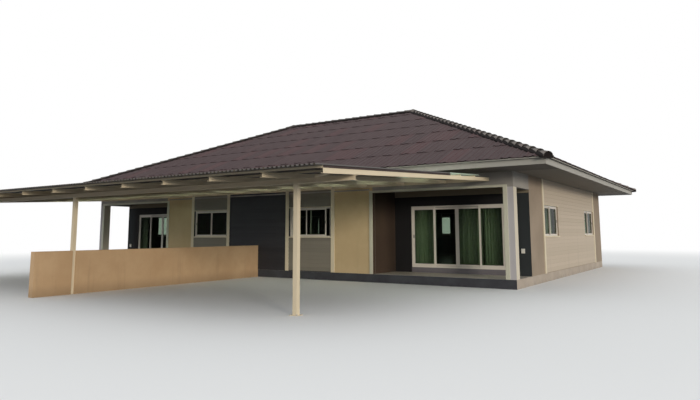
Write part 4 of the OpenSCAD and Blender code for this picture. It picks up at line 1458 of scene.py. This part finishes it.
def makeCurtains(sizes):
    rails = bmesh.new()
    jobs = []
    wall = house["porchBack"] + house["wall"]
    for home, turn in homes:
        for i, (x0, x1) in enumerate(sizes[home]):
            place = turn @ Matrix.Translation((x0, wall + sizes["offset"], 0))
            jobs.append((home + "_door_curtain_" + str(i + 1), place, x1 - x0, sizes["doorTop"],
                         sizes["doorFoot"]))
        addRail(rails, turn, sizes["doorRail"], sizes["doorBrackets"], wall, sizes["doorTop"],
                sizes)
    wall = house["wall"] - house["windowInset"]
    for i, (frameMatrix, _) in enumerate(windowPlaces()):
        if i in sizes["bareWindows"]:
            continue
        spans = sizes["halfOpen"] if i == sizes["halfOpenWindow"] else sizes["window"]
        for k, (x0, x1) in enumerate(spans):
            place = frameMatrix @ Matrix.Translation((x0, wall + sizes["offset"], -house["sill"]))
            jobs.append(("window_curtain_" + str(i - 1) + "_" + str(k + 1), place, x1 - x0,
                         sizes["windowTop"], sizes["windowFoot"]))
        addRail(rails, frameMatrix, sizes["windowRail"], sizes["windowBrackets"], wall,
                sizes["windowTop"] - house["sill"], sizes)
    bevelAll(rails, 0.003)
    rail = endPiece(rails, "curtain_rails", railWhite)
    for i, (name, matrix, width, top, foot) in enumerate(jobs):
        makeCurtain(name, matrix, width, top, foot, sizes, sizes["seed"] + 1.7 * i)


makeCurtains(curtains)
print("curtains made")

# Small fittings: socket boxes on the porches' back walls, bolts, and the carport sheet's screws
fittings = {"boxLow": (9.50, 0.96), "boxHigh": (9.61, 1.10), "boxDepth": 0.028,
            "boltHead": (0.016, 0.018, 0.022), "boltSpread": 0.075, "boltRise": 0.04,
            "screwHead": (0.0055, 0.010, 0.008), "screwRows": 8, "screwRow": 1.02,
            "screwStep": 0.208, "screwSpan": 18.1, "seed": 4}


def makeSocketBoxes(sizes):
    # A box, its lid, and the lid's lip
    bm = bmesh.new()
    face = house["porchBack"]
    front = face - sizes["boxDepth"]
    (x0, z0), (x1, z1) = sizes["boxLow"], sizes["boxHigh"]
    for _, matrix in homes:
        addBox(bm, (x0, front, z0), (x1, face, z1), matrix)
        addBox(bm, (x0 + 0.008, front - 0.006, z0 + 0.008), (x1 - 0.008, front + 0.001, z1 - 0.008),
               matrix)
        addBox(bm, (x0 + 0.03, front - 0.012, z1 - 0.012), (x1 - 0.03, front - 0.004, z1 - 0.004),
               matrix)
    bevelAll(bm, 0.003)
    endPiece(bm, "socket_boxes", boxPlastic)


def boltShape(radius, height, washer):
    # A washer with a hexagon head on it
    bm = bmesh.new()
    addRound(bm, (0, 0, 0), (0, 0, 1), washer, height * 0.25, 12)
    addRound(bm, (0, 0, height * 0.25), (0, 0, 1), radius, height * 0.75, 6, radius * 0.96)
    return toolMesh(bm, "oneBolt")


def makeBolts(sizes):
    # Four bolts in each outer post's base plate, and two through the wall channel at each band
    shape = boltShape(*sizes["boltHead"])
    spread, rise, seed = sizes["boltSpread"], sizes["boltRise"], sizes["seed"]
    beamY, channelY = house["front"] - carport["beamReach"], house["front"] - carport["channelFace"]
    meshes = []
    for x in (-carport["postX"], carport["postX"]):
        for y in (beamY - spread, beamY + spread):
            start = (x - spread, y, carport["plateTop"])
            meshes.append(growRow(shape, 2, start, (2 * spread, 0.0, 0.0), zinc, seed))
    for x in (-bayEdge, -centreEdge, centreEdge, bayEdge):
        start = (x, channelY, carport["channelBolts"])
        meshes.append(growRow(shape, 2, start, (0.0, 0.0, rise), zinc, seed,
                              Turn=(math.pi / 2, 0.0, 0.0)))
    endGrown(meshes, "anchor_bolts")


def carportTilt():
    # The carport's tilted frame, with its origin where the rafters' top meets the wall; and its run
    place = Matrix.Translation((0, house["front"], carport["rafterTop"]))
    tilt = place @ Matrix.Rotation(carport["slope"], 4, "X")
    return tilt, carport["reach"] / math.cos(carport["slope"])


# Brown closing plates over the purlins' ends, dark as painted shade under the sheet's edge, and
# mortar plugs in the mouths of the sheet's ribs, mostly near black as painted shade
carportEdges = {"lip": 0.22, "darkEnd": -2.9, "purlinEnd": 9.1255, "plate": 0.002,
                "ribPitch": 0.104, "plugs": 176, "plugFoot": 0.053, "plugCrest": 0.026,
                "plugHeight": 0.0275, "plugDepth": 0.014, "clear": 0.0005, "seed": 8}


def makeCarportEdges(sizes):
    tilt, run = carportTilt()
    bm = bmesh.new()
    low, high = sizes["purlinEnd"], sizes["purlinEnd"] + sizes["plate"]
    top = carport["purlin"] - sizes["clear"]
    # The plate's foot is folded out into a small drip
    outline = [(low, 0.0), (high, 0.0), (high + 0.006, -0.004), (high + 0.007, -0.002),
               (high, 0.006), (high, top), (low, top)]
    for sx in (1, -1):
        addPrism(bm, outline, (0, -run + 0.001, 0), (0, sizes["darkEnd"], 0), (sx, 0, 0), (0, 0, 1))
    bmesh.ops.transform(bm, matrix=tilt, verts=bm.verts)
    endPiece(bm, "carport_end_plates", endPlate)
    bm = bmesh.new()
    half, crest, high = sizes["plugFoot"] / 2, sizes["plugCrest"] / 2, sizes["plugHeight"]
    outline = [(-half, 0.0), (half, 0.0), (crest, high), (-crest, high)]
    addPrism(bm, outline, (0, 0.001, 0), (0, sizes["plugDepth"], 0), (1, 0, 0), (0, 0, 1))
    shape = toolMesh(bm, "onePlug")
    count, pitch = sizes["plugs"], sizes["ribPitch"]
    start = (-(count - 1) * pitch / 2, -run - sizes["lip"], carport["purlin"] + sizes["clear"])
    mesh = growRow(shape, count, start, (pitch, 0.0, 0.0), ribPlug, sizes["seed"])
    mesh.transform(tilt)
    endGrown([mesh], "rib_plugs")


def makeSheetScrews(sizes):
    # Self-drilling screws through the pans of the carport sheet into the purlins
    shape = boltShape(*sizes["screwHead"])
    tilt, run = carportTilt()
    step, level = sizes["screwStep"], carport["purlin"] + carport["sheet"]
    count = int(sizes["screwSpan"] / step)
    meshes = []
    for i in range(sizes["screwRows"]):
        y = -run + i * sizes["screwRow"] + carport["purlin"] / 2
        mesh = growRow(shape, count + 1, (-count * step / 2, y, level), (step, 0.0, 0.0), zinc,
                       sizes["seed"])
        mesh.transform(tilt)
        meshes.append(mesh)
    endGrown(meshes, "sheet_screws")


makeSocketBoxes(fittings)
makeBolts(fittings)
makeCarportEdges(carportEdges)
makeSheetScrews(fittings)
print("fittings made")
